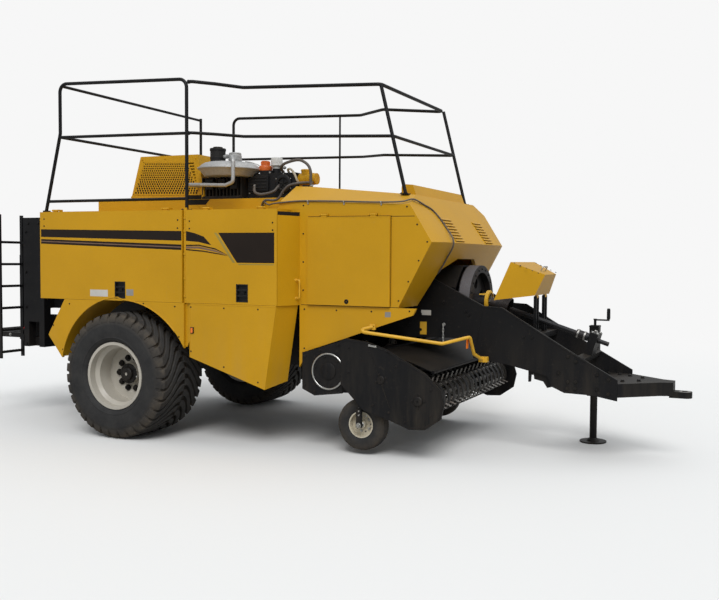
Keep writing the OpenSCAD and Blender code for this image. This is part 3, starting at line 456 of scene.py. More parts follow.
def rubber(name, tread_r, crown_r):
    """Tyre rubber round the piece's own zero: greyed tread, dusty between the lugs, dark sidewall."""
    look = Look(name)
    xx = look.sum("MULTIPLY", look.x, look.x, False)
    zz = look.sum("MULTIPLY", look.height, look.height, False)
    away = look.sum("SQRT", look.sum("ADD", xx, zz, False), 0.0, False)
    patch = look.noise(7, 6, 0.7)
    grain = look.noise(160, 3, 0.6)
    base = look.mix(look.span(patch, 0.3, 0.75), (0.021, 0.021, 0.022, 1), (0.040, 0.039, 0.038, 1))
    low = look.sum("MULTIPLY", look.span(away, tread_r - 0.10, tread_r),
                   look.span(away, crown_r, tread_r + 0.008))
    earth = look.sum("MULTIPLY", low, look.span(patch, 0.36, 0.7, 0.1, 0.75))
    worn = look.sum("MULTIPLY", look.span(away, crown_r - 0.012, crown_r), 0.5)
    colour = look.mix(earth, base, (0.105, 0.083, 0.058, 1))
    colour = look.mix(worn, colour, (0.085, 0.082, 0.078, 1))
    return look.done(colour, look.span(grain, 0.3, 0.7, 0.62, 0.82), grain, 0.18, 0.0012)


def moulded(name, rgb, rough=0.5, coat=0.0, grain=0.12):
    """Moulded plastic, rubber hose or film with a fine grain, and light dust and painted sheen on what faces
    up.
    """
    look = Look(name, coat=coat)
    fine = look.noise(220, 2, 0.5)
    slow = look.noise(4, 5, 0.6)
    base = look.mix(look.span(slow, 0.3, 0.7), tint(rgb, 0.85), tint(rgb, 1.12))
    # Faces that look up are mixed a quarter towards the dust colour: light dust and a painted sheen.
    colour = look.mix(look.sum("MULTIPLY", look.span(look.up, 0.3, 1.0), 0.25), base, DUST_AND_SHEEN)
    return look.done(colour, look.span(slow, 0.3, 0.7, rough - 0.05, rough + 0.06), fine, grain, 0.0006)


def lens(name, rgb):
    """A ribbed plastic lens over a bright reflector, with a faint painted glow for the reflector's brightness.
    """
    look = Look(name, coat=0.6, ior=1.5)
    wave = look.add("ShaderNodeTexWave", {"Vector": look.place, "Scale": 60, "Distortion": 0.4},
                    wave_type="BANDS", bands_direction="Z")
    colour = look.mix(wave.outputs[1], tint(rgb, 0.75), tint(rgb, 1.15))
    # Painted glow: the lens emits a little light of its own colour, though it is no lamp.
    look.shader.inputs["Emission Color"].default_value = rgb + (1.0,)
    look.shader.inputs["Emission Strength"].default_value = 0.12
    return look.done(colour, 0.22, wave.outputs[1], 0.3, 0.001)


YELLOW = enamel("yellow_enamel", (0.60, 0.315, 0.008), rough=0.38, top_dust_and_sheen=0.14, mud=0.2, coat=0.05, shade=0.09)
BLACK = enamel("black_enamel", (0.006, 0.006, 0.007), rough=0.46, top_dust_and_sheen=0.1, mud=0.14, coat=0.0, shade=0.25,
               high=1.3)
RIM = enamel("rim_enamel", (0.50, 0.47, 0.41), rough=0.36, top_dust_and_sheen=0.2, mud=0.35, coat=0.15, low=0.2, high=1.1)
CREAM = enamel("cream_enamel", (0.56, 0.51, 0.40), rough=0.36, top_dust_and_sheen=0.2, mud=0.4, coat=0.15, low=0.1,
               high=0.8)
STEEL = metal("worn_steel", (0.40, 0.39, 0.37), 0.42, 0.55)
FLYWHEEL = metal("flywheel_iron", (0.030, 0.030, 0.032), 0.45, 0.2, 0.4)
WORN_BAND = metal("worn_band", (0.16, 0.16, 0.175), 0.42, 0.2, 0.5)
ALLOY = metal("cast_alloy", (0.50, 0.50, 0.49), 0.5, 0.18, 0.55)
ZINC = metal("zinc_plate", (0.52, 0.52, 0.50), 0.36, 0.2)
IRON = metal("engine_iron", (0.022, 0.021, 0.020), 0.6, 0.3, 0.2)
PLASTIC = moulded("black_plastic", (0.010, 0.010, 0.011), 0.5)
HOSE = moulded("rubber_hose", (0.020, 0.020, 0.021), 0.55)
GREY_HOSE = moulded("grey_hose", (0.105, 0.092, 0.084), 0.5)
BLACK_FILM = moulded("black_film", (0.014, 0.008, 0.005), 0.5, grain=0.02)
TAN_FILM = moulded("tan_film", (0.20, 0.12, 0.08), 0.5, grain=0.02)
GOLD_FILM = moulded("gold_film", (0.36, 0.26, 0.05), 0.35, coat=0.3, grain=0.02)
PALE_FILM = moulded("pale_film", (0.62, 0.60, 0.55), 0.4, coat=0.2, grain=0.02)
GREY_FILM = moulded("grey_film", (0.30, 0.29, 0.27), 0.4, coat=0.2, grain=0.02)
ORANGE_PLASTIC = moulded("orange_plastic", (0.62, 0.13, 0.02), 0.42, coat=0.2)
ORANGE = lens("amber_lens", (0.85, 0.19, 0.015))
RED = lens("red_lens", (0.55, 0.02, 0.015))
# Dark paint: painted shade in the gap beside the deck step and behind the vent's perforated sheet, and also
# the dark seams and joints of the hood.
DARK = moulded("shadow_paint", (0.010, 0.009, 0.008), 0.8)
SAFETY = moulded("yellow_plastic", (0.75, 0.42, 0.03), 0.42, coat=0.2)
WHITE = moulded("white_plastic", (0.62, 0.62, 0.60), 0.4, coat=0.2)
TYRE = rubber("main_tyre_rubber", AXLE_Z - 0.034, AXLE_Z)
GAUGE_TYRE = rubber("gauge_tyre_rubber", 0.247, 0.256)

SLOT_LOOKS = {
    "yellow_paint": YELLOW, "black_paint": BLACK, "bare_steel": STEEL, "flywheel_steel": FLYWHEEL,
    "rim_paint": RIM, "gauge_rim_paint": CREAM, "tyre": TYRE, "cast_alloy": ALLOY, "engine_black": IRON,
    "black_plastic": PLASTIC, "amber_lens": ORANGE,
}
for part in frame["record"]["subparts"]:
    node = frame["nodes"][part["node"]]
    node.data.materials.clear()
    node.data.materials.append(SLOT_LOOKS[part["material_slot"]])


# Wheels: main tyres with swept lugs that wrap the shoulder, ribbed gauge tyres, nuts, caps and valves.

# Y of the main wheels' middle planes, and the middle of a gauge wheel.
TRACK = 1.17
GAUGE_X = 2.69
GAUGE_Y = 1.03
GAUGE_Z = 0.30


def carcass_half():
    """Half the main tyre's section, with raised rings on the sidewall, as (y, radius)."""
    points = [(296, 338), (296, 354), (303, 361), (314, 367), (325, 375), (333, 385), (338, 396), (343.5, 400),
              (345, 407), (343, 413), (346, 428), (349, 452), (350, 478), (349, 505), (346, 531), (346.5, 538),
              (344.5, 545), (340, 560), (334, 580), (326, 600), (312, 615), (290, 622), (230, 626), (150, 629),
              (70, 631.5), (0, 632.5)]
    return [(y / 1000, r / 1000) for y, r in points]


def main_tyre(side):
    """The carcass with two rows of lugs, half a pitch apart."""
    mesh = Mesh()
    half = carcass_half()
    profile = [(r, y) for y, r in half] + [(r, -y) for y, r in half[-2::-1]]
    centre = Vector((0, side * TRACK, AXLE_Z))
    turn = Matrix.Translation(centre) @ Matrix.Rotation(math.pi / 2, 4, "X")
    mesh.lathe(profile, turn, 120)
    lugs = 34
    pitch = 2 * math.pi / lugs
    # Along half the tread's width: the lugs' top and their foot in the carcass, as radii.
    top = AXLE_Z
    path = [0.006, 0.05, 0.10, 0.16, 0.22, 0.275, 0.305, 0.325, 0.335, 0.341]
    reach = [top, top, top - 0.0005, top - 0.001, top - 0.003, top - 0.007, top - 0.014, 0.630, 0.603, 0.582]
    foot = [0.622, 0.622, 0.621, 0.620, 0.618, 0.614, 0.606, 0.592, 0.572, 0.566]
    for s in (-1, 1):
        for i in range(lugs):
            start = (i + (0.5 if s > 0 else 0.0)) * pitch
            rings = []
            for y, high, low in zip(path, reach, foot):
                t = min(y / 0.30, 1.0)
                bend = t * t * (3 - 2 * t)
                angle = start - 0.46 * bend + 0.05 * math.sin(math.pi * t)
                wide = pitch * (0.30 + 0.05 * bend)
                ring = []
                section = ((-1.16, low), (-1.0, high - 0.004), (-0.86, high), (0.86, high),
                           (1.0, high - 0.004), (1.16, low))
                for k, r in section:
                    a = angle + k * wide
                    ring.append(centre + Vector((r * math.cos(a), s * y, r * math.sin(a))))
                rings.append(ring if s > 0 else ring[::-1])
            mesh.loft(rings)
    name = SIDE_NAME[side]
    piece = mesh.make("main_tyre_" + name, "wheel_" + name, TYRE, "tyre", 28, centre=centre)
    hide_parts("tyre_" + name)


def wheel_trim(side):
    """Nuts, hub cover, valve and weld bead of a main wheel."""
    name = SIDE_NAME[side]
    out = Vector((0, side, 0))
    middle = Vector((0, side * TRACK, AXLE_Z))
    nuts = Mesh()
    for spot in wheel_circle(0.1675, 10, side * 0.042):
        nuts.bolt(middle + spot, out, 0.046, 0.026)
        nuts.disc(0.011, 0.02, 0.038, placed(middle + spot, out), 12, 0.003)
    nuts.make("wheel_nuts_" + name, "wheel_" + name, BLACK, "black_paint", bevel=0.001)
    cap = Mesh()
    place = placed(middle + out * 0.09, out)
    cap.lathe([(0.02, 0.0), (0.109, 0.0), (0.109, 0.004), (0.10, 0.012), (0.075, 0.016), (0.070, 0.042),
               (0.060, 0.050), (0.02, 0.052)], place, 40)
    for spot in wheel_circle(0.088, 6, 0, math.pi / 6):
        cap.bolt(middle + out * 0.101 + spot, out, 0.017, 0.009, False)
    cap.make("hub_cap_" + name, "wheel_" + name, BLACK, "black_paint", bevel=0.0008)
    valve = Mesh()
    start = middle + Vector((0.268, side * 0.20, 0.0))
    bend = Vector((-0.012, 0, 0))
    tip = Vector((-0.014, 0, 0))
    valve.tube([start, start + out * 0.03 + bend, start + out * 0.06 + tip], 0.005, 10)
    valve.disc(0.008, 0.0, 0.02, placed(start + out * 0.052 + tip, out), 12, 0.002)
    valve.make("tyre_valve_" + name, "wheel_" + name, ZINC)
    bead = Mesh()
    bead.lathe([(0.284, 0.036), (0.289, 0.041), (0.289, 0.046), (0.280, 0.047), (0.274, 0.043)],
               Matrix.Translation(middle) @ Matrix.Rotation(-side * math.pi / 2, 4, "X"), 72)
    bead.make("disc_weld_" + name, "wheel_" + name, RIM, "rim_paint")


def gauge_wheel(side):
    """The small wheel's ribbed tyre, rim bolts and axle cap."""
    name = SIDE_NAME[side]
    out = Vector((0, side, 0))
    middle = Vector((GAUGE_X, side * GAUGE_Y, GAUGE_Z))
    turn = Matrix.Translation(middle) @ Matrix.Rotation(math.pi / 2, 4, "X")
    half = [(0.062, 0.131), (0.066, 0.140), (0.069, 0.150), (0.074, 0.160), (0.075, 0.180), (0.0745, 0.205),
            (0.072, 0.222), (0.066, 0.236), (0.060, 0.245), (0.052, 0.250), (0.047, 0.2515), (0.046, 0.244),
            (0.038, 0.244), (0.037, 0.2535), (0.022, 0.2545), (0.021, 0.246), (0.010, 0.246), (0.009, 0.255),
            (0.0, 0.255)]
    profile = [(r, y) for y, r in half] + [(r, -y) for y, r in half[-2::-1]]
    tyre = Mesh().lathe(profile, turn, 72)
    piece = tyre.make("gauge_tyre_" + name, "gauge_" + name, GAUGE_TYRE, "tyre", 28, centre=middle)
    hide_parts("gauge_tyres_" + name)
    trim = Mesh()
    for spot in wheel_circle(0.075, 5, side * 0.002, math.pi / 5):
        trim.bolt(middle + spot, out, 0.019, 0.010)
    trim.lathe([(0.0215, 0.03), (0.032, 0.03), (0.032, 0.058), (0.026, 0.064), (0.0215, 0.064)],
               placed(middle, out), 28)
    trim.make("gauge_trim_" + name, "gauge_" + name, ZINC, bevel=0.0006)


for side in SIDES:
    main_tyre(side)
    wheel_trim(side)
    gauge_wheel(side)


# Hand rails on the routes that the photograph shows, and the yellow guard tube on its node's route.

# Radius and sides of the stout and the thin rails.
STOUT = (0.018, 20)
THIN = (0.016, 18)
RAIL_Y = 1.25
DECK_Z = 2.40
# Rails end this far over the deck, so that no two faces share a plane.
FOOT_Z = DECK_Z + 0.0003
RAIL_Z = 3.80
RAIL_MID = 3.22


def foot_plate(mesh, x, y, z, normal=(0, 0, 1)):
    """A post's bolted foot."""
    place = placed((x, y, z), normal, (1, 0, 0))
    mesh.box((-0.045, -0.038, 0.0), (0.045, 0.038, 0.008), place)
    for dx in (-0.033, 0.033):
        for dy in (-0.027, 0.027):
            mesh.bolt(place @ Vector((dx, dy, 0.008)), normal, 0.013, 0.007)


def rear_rails():
    """Rails round the deck's rear, from the middle of the near side to the far rear corner."""
    mesh = Mesh()
    knee = -0.935
    front = 0.755
    low = DECK_Z + 0.12
    mesh.tube(rounded([(-1.15, -RAIL_Y, DECK_Z + 0.005), (knee, -RAIL_Y, 3.26), (knee, -RAIL_Y, RAIL_Z),
                       (front, -RAIL_Y, RAIL_Z - 0.06), (front, -RAIL_Y, FOOT_Z)], 0.09, 8), *STOUT)
    mesh.tube(rounded([(-1.15, RAIL_Y, DECK_Z + 0.005), (knee, RAIL_Y, 3.26), (knee, RAIL_Y, RAIL_Z)],
                      0.09, 8), *STOUT)
    mesh.tube([(knee, -RAIL_Y, RAIL_MID), (front, -RAIL_Y, RAIL_MID - 0.03)], *THIN)
    mesh.tube([(-1.122, -RAIL_Y, low), (front, -RAIL_Y, low)], *THIN)
    mesh.tube([(knee + 0.026, -RAIL_Y, RAIL_Z - 0.026), (knee, RAIL_Y, RAIL_Z - 0.026)], *THIN)
    mesh.tube([(knee, -RAIL_Y, RAIL_MID), (knee, RAIL_Y, RAIL_MID)], *THIN)
    for y in (-RAIL_Y, RAIL_Y):
        mesh.box((-1.175, y - 0.025, DECK_Z - 0.11), (-1.11, y + 0.025, DECK_Z + 0.02))
        for z in (DECK_Z - 0.02, DECK_Z - 0.08):
            mesh.bolt((-1.175, y, z), (-1, 0, 0), 0.019, 0.010)
    foot_plate(mesh, front, -RAIL_Y, DECK_Z)
    piece = mesh.make("rear_hand_rails", "root", BLACK, "black_paint", bevel=0.001)
    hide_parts("rails_rear")


def front_rails():
    """Rails round the engine: the near ones start at the rear rail, the far ones at their own post."""
    mesh = Mesh()
    top = RAIL_Z - 0.10
    dip = 0.07
    mid = RAIL_MID - 0.03
    end = 2.765
    foot = 3.04
    inner = 0.85
    far = -0.405
    start = 0.7733
    lean = (foot - end) / (top - dip - 2.60)
    knee = end + lean * (top - mid)
    mesh.tube(rounded([(start, -RAIL_Y, top + 0.01), (start + 0.05, -RAIL_Y, top + 0.01),
                       (0.99, -1.09, top + 0.005), (1.17, -inner, top), (end, -inner, top - dip),
                       (end, 0, top - dip)], 0.04, 8), *STOUT)
    mesh.tube(rounded([(start, -RAIL_Y, mid), (start + 0.05, -RAIL_Y, mid), (0.99, -1.09, mid),
                       (1.18, -inner, mid), (knee, -inner, mid - dip), (knee, 0, mid - dip)], 0.04, 8),
              *THIN)
    mesh.tube(rounded([(far, RAIL_Y, FOOT_Z), (far, RAIL_Y, top + 0.075), (1.49, RAIL_Y, top + 0.02),
                       (1.99, inner, top), (end, inner, top - dip), (end, 0, top - dip)], 0.09, 8), *STOUT)
    mesh.tube(rounded([(far, RAIL_Y, mid + 0.04), (1.53, RAIL_Y, mid + 0.01), (2.01, inner, mid - 0.03),
                       (knee, inner, mid - dip), (knee, 0, mid - dip)], 0.06, 8), *THIN)
    strut = 1.2
    mesh.tube([(strut, RAIL_Y, FOOT_Z), (strut, RAIL_Y, top + 0.025)], 0.012, 16)
    for y in (-inner, inner):
        mesh.tube([(end, y, top - dip), (foot, y, 2.558)], *STOUT)
        foot_plate(mesh, foot, y, 2.5485, (0.084, 0, 1))
    foot_plate(mesh, far, RAIL_Y, DECK_Z)
    foot_plate(mesh, strut, RAIL_Y, DECK_Z)
    for z in (top + 0.01, mid):
        mesh.tube([(start + 0.001, -RAIL_Y, z), (start + 0.013, -RAIL_Y, z)], 0.021, 20)
    piece = mesh.make("front_hand_rails", "root", BLACK, "black_paint", bevel=0.001)
    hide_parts("rails_front")


def guard_tube():
    """The bent tube from the skirt round to the tongue, with its ends' blocks and its reflector."""
    mesh = Mesh()
    route = rounded([(2.82, -1.116, 1.262), (2.70, -1.25, 1.23), (3.50, -1.01, 1.122), (3.69, -0.76, 1.175),
                     (3.69, -0.64, 1.0), (3.73, -0.48, 0.925)], 0.032, 7)
    mesh.tube(route, 0.017, 22)
    mesh.box((3.69, -0.50, 0.905), (3.78, -0.45, 0.96))
    mesh.box((2.79, -1.122, 1.235), (2.85, -1.10, 1.29))
    for x in (2.803, 2.837):
        mesh.bolt((x, -1.122, 1.278), (0, -1, 0), 0.013, 0.008)
    piece = mesh.make("yellow_guard_tube", "root", SAFETY, "yellow_paint", bevel=0.0015)
    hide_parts("guard_tube")
    flag = Mesh()
    flag.box((3.655, -0.772, 1.06), (3.662, -0.722, 1.15))
    flag.make("guard_reflector", "root", ORANGE, "amber_lens", bevel=0.002)


rear_rails()
front_rails()
guard_tube()


# Side doors: panels, bolts, the dark band and thin stripes, a plain dark panel, blank plates and latches.

FACE = 1.38
LATCH_LOW = 1.485
LATCH_HIGH = 1.645
LATCH_HALF = 0.060
REAR_ENDS = (-1.11, 0.790)
FRONT_ENDS = (0.840, 1.915)
REAR_LATCH_X = -0.006
FRONT_LATCH_X = 1.515
HINGE_OUT = 0.012
HINGE_UP = 0.017
HINGE_PIN = 0.005
KNUCKLE = 0.010


def strip(x0, z0, z1, x1, z2, z3):
    """Outline between a rear edge z0 to z1 at x0 and a front edge z2 to z3 at x1."""
    return [(x0, z0), (x1, z2), (x1, z3), (x0, z1)]


def on_door(piece_name, body, side, outlines, film, thick=FILM):
    """Films on a door's face, as one piece."""
    mesh = Mesh()
    for outline in outlines:
        mesh.side(outline, side * FACE, thick)
    mesh.make(piece_name + "_" + body, body, film)


def latch(body, side, x):
    """A black latch housing in its pocket: bezel, lined walls, two grip bars and the lock between them."""
    mesh = Mesh()
    y = side * FACE
    z0 = LATCH_LOW
    z1 = LATCH_HIGH
    w = LATCH_HALF
    lip = 0.009
    skin = 0.002
    deep = 0.0215
    back = y - side * deep
    for low, high, a, b in ((z0 - lip, z0 + skin, -w - lip, w + lip),
                            (z1 - skin, z1 + lip, -w - lip, w + lip),
                            (z0, z1, -w - lip, skin - w), (z0, z1, w - skin, w + lip)):
        mesh.side(rect(x + a, low, x + b, high), y, 0.003)
    mesh.side(rect(x - w + skin, z0 + skin, x + w - skin, z1 - skin), back, 0.003)
    for low, high, a, b in ((z0 + 0.0005, z0 + skin, -w, w), (z1 - skin, z1 - 0.0005, -w, w),
                            (z0, z1, -w + 0.0005, skin - w), (z0, z1, w - skin, w - 0.0005)):
        mesh.side(rect(x + a, low, x + b, high), back, deep)
    for z in (z0 + 0.044, z0 + 0.101):
        mesh.side(rect(x - w + skin, z - 0.001, x + w - skin, z + 0.016), y - side * 0.019, 0.0175)
    mesh.side(rect(x - 0.022, z0 + 0.064, x + 0.022, z0 + 0.096), y - side * 0.019, 0.012)
    mesh.make("latch_" + body, body, PLASTIC, "black_plastic", bevel=0.001)
    at = placed((x, side * (FACE - 0.007), z0 + 0.080), (0, side, 0))
    lock = Mesh().disc(0.010, 0.0, 0.004, at, 20, 0.001)
    lock.make("lock_" + body, body, BLACK, "black_paint")


def band_top(x):
    """Height of the dark band's upper edge."""
    return 2.193 - 0.0135 * x


def band_foot(x):
    """Height of the dark band's lower edge."""
    return 2.101 - 0.0215 * x


def stripe(x, k):
    """Height at a share k of the thin stripes' depth."""
    top = 2.101 - 0.030 * (x + 1.09)
    foot = 2.051 - 0.033 * (x + 1.09)
    return top + (foot - top) * k


def hinge_knuckle(mesh, x, wall, top):
    """A door's leaf and bored barrel over its top edge."""
    y = wall - 0.005 - HINGE_OUT
    z = top + HINGE_UP
    bore = HINGE_PIN + 0.0003
    mesh.sleeve(bore, KNUCKLE, 0.03, placed((x, y, z), (1, 0, 0)), 32)
    mesh.box((x - 0.03, y - 0.005, top - 0.002), (x + 0.03, y + 0.005, z - bore - 0.001))


def hinge_lugs(mesh, x, wall, top):
    """The two lugs and the pin that carry a knuckle."""
    y = wall - 0.005 - HINGE_OUT
    z = top + HINGE_UP
    for e in (-0.04, 0.04):
        mesh.box((x + e - 0.005, y, z - 0.01), (x + e + 0.005, wall, z + 0.01))
        mesh.disc(KNUCKLE, -0.005, 0.005, placed((x + e, y, z), (1, 0, 0)), 32)
    mesh.disc(HINGE_PIN, -0.04, 0.04, placed((x, y, z), (1, 0, 0)), 24)


def side_door(side, name, x0, x1, latch_x):
    """A door's panel with its latch pocket and hinge knuckles, drawn as the right one."""
    slab = Mesh().box((x0, -FACE, 1.452), (x1, 0.040 - FACE, 2.395))
    pocket = Mesh().box((latch_x - LATCH_HALF, -FACE - 0.01, LATCH_LOW),
                        (latch_x + LATCH_HALF, 0.022 - FACE, LATCH_HIGH))
    mesh = carved(slab, [pocket])
    near, far = (0.20, 0.225) if x0 < 0 else (0.225, 0.20)
    for x in (x0 + near, x1 - far):
        hinge_knuckle(mesh, x, -1.335, 2.395)
    if side > 0:
        mesh.flip()
    piece = mesh.make("panel_" + name, name, YELLOW, "yellow_paint")
    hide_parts(name)


def dress_doors(side):
    """A side's two doors with their films, bolts, latches and seals."""
    name = SIDE_NAME[side]
    rear = "door_rear_" + name
    front = "door_front_" + name
    side_door(side, rear, *REAR_ENDS, REAR_LATCH_X)
    side_door(side, front, *FRONT_ENDS, FRONT_LATCH_X)
    # The films stop a little inside the doors' ends.
    x0 = -1.095
    x1 = 0.785
    on_door("band", rear, side, [strip(x0, band_foot(x0), band_top(x0), x1, band_foot(x1), band_top(x1))],
            BLACK_FILM)
    on_door("line", rear, side, [strip(x0, stripe(x0, b), stripe(x0, a), x1, stripe(x1, b), stripe(x1, a))
                                 for a, b in ((0, 0.38), (0.58, 1))], BLACK_FILM)
    on_door("pinstripe", rear, side, [strip(x0, stripe(x0, 0.58), stripe(x0, 0.38), x1, stripe(x1, 0.58),
                                            stripe(x1, 0.38))], TAN_FILM)
    a = 0.843
    on_door("band", front, side, [[(a, band_foot(a)), (1.0, band_foot(a) - 0.012), (1.15, 2.040),
                                   (1.06, 2.125), (0.95, 2.160), (a, band_top(a))]], BLACK_FILM)
    on_door("line", front, side, [[(a, stripe(a, 0.25)), (1.0, 2.032), (1.20, 1.995), (1.363, 1.934),
                                   (1.20, 2.008), (1.0, 2.045), (a, stripe(a, 0))],
                                  [(a, stripe(a, 1)), (1.05, 1.972), (1.25, 1.946), (1.36, 1.930),
                                   (1.25, 1.956), (1.05, 1.985), (a, stripe(a, 0.76))]], BLACK_FILM)
    on_door("pinstripe", front, side, [[(a, stripe(a, 0.70)), (1.0, 2.005), (1.20, 1.972), (1.345, 1.938),
                                        (1.20, 1.990), (1.0, 2.026), (a, stripe(a, 0.30))]], TAN_FILM)
    on_door("panel", front, side, [[(1.235, 2.163), (1.885, 2.163), (1.885, 1.866), (1.455, 1.866)]],
            BLACK_FILM)
    on_door("panel_edge", front, side, [[(1.185, 2.163), (1.217, 2.163), (1.437, 1.866), (1.405, 1.866)],
                                        [(1.475, 1.846), (1.885, 1.846), (1.885, 1.856), (1.468, 1.856)]],
            GOLD_FILM)
    for body, spots in ((rear, ((-1.05, 2.319), (-1.05, 2.243), (0.739, 2.294), (0.738, 2.212))),
                        (front, ((0.885, 2.282), (0.884, 2.207), (1.866, 2.260), (1.866, 2.187)))):
        bolts = Mesh()
        bolts.rivets(spots, side * FACE)
        bolts.make("door_bolts_" + body, body, BLACK, "black_paint")
    latch(rear, side, REAR_LATCH_X)
    latch(front, side, FRONT_LATCH_X)
    on_door("plate", rear, side, [rect(0.078, 1.508, 0.17, 1.574)], GREY_FILM, 0.001)
    on_door("blank", rear, side, [rect(-0.41, 1.49, -0.17, 1.562)], PALE_FILM)
    for body, (low, high) in ((rear, REAR_ENDS), (front, FRONT_ENDS)):
        seal = Mesh()
        inner = -1.3385 if side < 0 else 1.3412
        for z in (1.4535, 2.3885):
            seal.box((low + 0.02, side * 1.3398, z), (high - 0.02, inner, z + 0.005))
        seal.make("door_seal_" + body, body, HOSE)


for side in SIDES:
    dress_doors(side)


# The vented box on the deck: a perforated sheet in its window, painted shade behind it, a folded lip round it
# and bolts.


def fan_box_trim():
    y = -0.7435
    low_left, low_right = (-0.358, 2.625), (0.534, 2.608)
    top_left, top_right = (-0.215, 2.969), (0.373, 2.950)

    def spot(u, v):
        low = [a * (1 - u) + b * u for a, b in zip(low_left, low_right)]
        top = [a * (1 - u) + b * u for a, b in zip(top_left, top_right)]
        x, z = [a * (1 - v) + b * v for a, b in zip(low, top)]
        return x, y, z

    rows = 14
    cells = 24
    pitch = 1 / (cells + 0.5)
    step = 1 / rows
    index = {}
    verts = []
    faces = []

    def corner(u, v):
        key = (round(u / pitch * 2), round(v / step * 2))
        if key not in index:
            index[key] = len(verts)
            verts.append(spot(u, v))
        return index[key]

    for row in range(rows):
        v0 = row * step
        v1 = v0 + step
        vm = v0 + step / 2
        shift = pitch / 2 if row % 2 else 0.0
        for cell in range(cells):
            u0 = shift + cell * pitch
            u1 = u0 + pitch
            um = u0 + pitch / 2
            rim = [corner(u, v) for u, v in ((u0, v0), (um, v0), (u1, v0), (u1, vm), (u1, v1), (um, v1),
                                             (u0, v1), (u0, vm))]
            middle = Vector(spot(um, vm))
            wide = (Vector(spot(u1, vm)) - Vector(spot(u0, vm))).length * 0.34
            base = len(verts)
            for k in range(8):
                a = math.pi * (-0.75 + k / 4)
                verts.append(middle + Vector((wide * math.cos(a), 0, wide * math.sin(a))))
            for k in range(8):
                faces.append((rim[k], rim[(k + 1) % 8], base + (k + 1) % 8, base + k))
        a, b = (1 - pitch / 2, 1) if row % 2 == 0 else (0, pitch / 2)
        faces.append(tuple(corner(u, v) for u, v in ((a, v0), (b, v0), (b, vm), (b, v1), (a, v1), (a, vm))))
    sheet = Mesh().plate(verts, faces, (0, 0.0015, 0))
    sheet.make("vent_sheet", "root", YELLOW, "yellow_paint")
    edge = [low_left, low_right, top_right, top_left]
    wall = -0.74
    # Painted shade: a dark film on the box's wall behind the perforated sheet, standing in for the shadowed
    # inside seen through its holes.
    liner = Mesh().side(edge, wall, FILM)
    liner.make("vent_painted_shade", "root", DARK)
    lip = Mesh()
    for start, end in zip(edge, edge[1:] + edge[:1]):
        lip.side(hem(start, end, 0.012, 0.012), wall, 0.005)
    lip.bolts(((-0.243, 3.006), (0.07, 3.006), (0.480, 3.002), (-0.395, 2.590), (0.09, 2.582),
               (0.575, 2.585)), wall, 0.016, 0.008)
    lip.make("vent_frame", "root", YELLOW, "yellow_paint", bevel=0.001)


fan_box_trim()


# The engine on its step: block, black housings, blower, canisters, bent pipe, hoses and small parts.

ENGINE_Y = -0.85
# Engine parts are drawn round their own plane; this sets them down on the deck's step.
ENGINE = Matrix.Translation((-0.1239, 0.1661, -0.0365)) @ Matrix.Scale(1.0191, 4)
STEP_Z = 2.55
ENGINE_FOOT = 2.538
# The tall canister, the yellow cylinder and its upright part, the front housing's lid and the filter can,
# each in the engine's own plane.
CANISTER = Matrix.Translation((0.852, ENGINE_Y, -0.022))
TANK = Vector((1.779, -0.72, 2.738))
TANK_POST = Matrix.Translation((1.854, -0.72, 2.738))
LID = Vector((1.64, -0.80, 2.69))
FILTER_X = 1.50
FILTER_Y = ENGINE_Y + 0.13


def deck_step():
    """The raised step ahead of the deck's own, with its folded foot and bolts, and painted shade in the gap
    beside it.
    """
    step = Mesh().box((0.5595, -0.75, DECK_Z), (1.711, 0.75, STEP_Z))
    for side in SIDES:
        step.side(rect(0.575, DECK_Z, 1.70, DECK_Z + 0.004), side * 0.75, 0.025)
        for x in (0.66, 0.92, 1.18, 1.44, 1.66):
            step.bolt((x, side * 0.763, DECK_Z + 0.004), (0, 0, 1), 0.012, 0.006)
    step.make("deck_step", "root", YELLOW, "yellow_paint", bevel=0.002)
    # Painted shade: dark films on the step's side and the deck's hump, standing in for the shadow in the gap
    # between the vented box and the engine's step.
    recess = Mesh().side(rect(0.380, 2.552, 0.558, 2.600), -0.74, 0.0008)
    recess.side([(0.380, 2.490), (0.620, 2.490), (0.676, 2.548), (0.380, 2.548)], -0.75, 0.0008)
    recess.make("step_gap_painted_shade", "root", DARK)


def engine_block():
    """The finned block and the tall canister."""
    mesh = Mesh().box((0.673, ENGINE_Y - 0.04, ENGINE_FOOT), (1.176, ENGINE_Y + 0.20, 2.570))
    mesh.box((0.693, ENGINE_Y + 0.02, 2.569), (1.156, ENGINE_Y + 0.20, 2.768))
    for k in range(12):
        x = 0.673 + k * 0.489 / 11
        mesh.box((x, ENGINE_Y - 0.04, 2.569), (x + 0.014, ENGINE_Y + 0.21, 2.764))
    mesh.lathe([(0.004, 2.9433), (0.076, 2.9433), (0.080, 2.948), (0.080, 3.090), (0.072, 3.099),
                (0.050, 3.100), (0.050, 3.112), (0.046, 3.114), (0.004, 3.114)], CANISTER, 48)
    piece = mesh.moved(ENGINE).make("engine_block", "root", IRON, "engine_black", bevel=0.0015)
    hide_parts("engine")


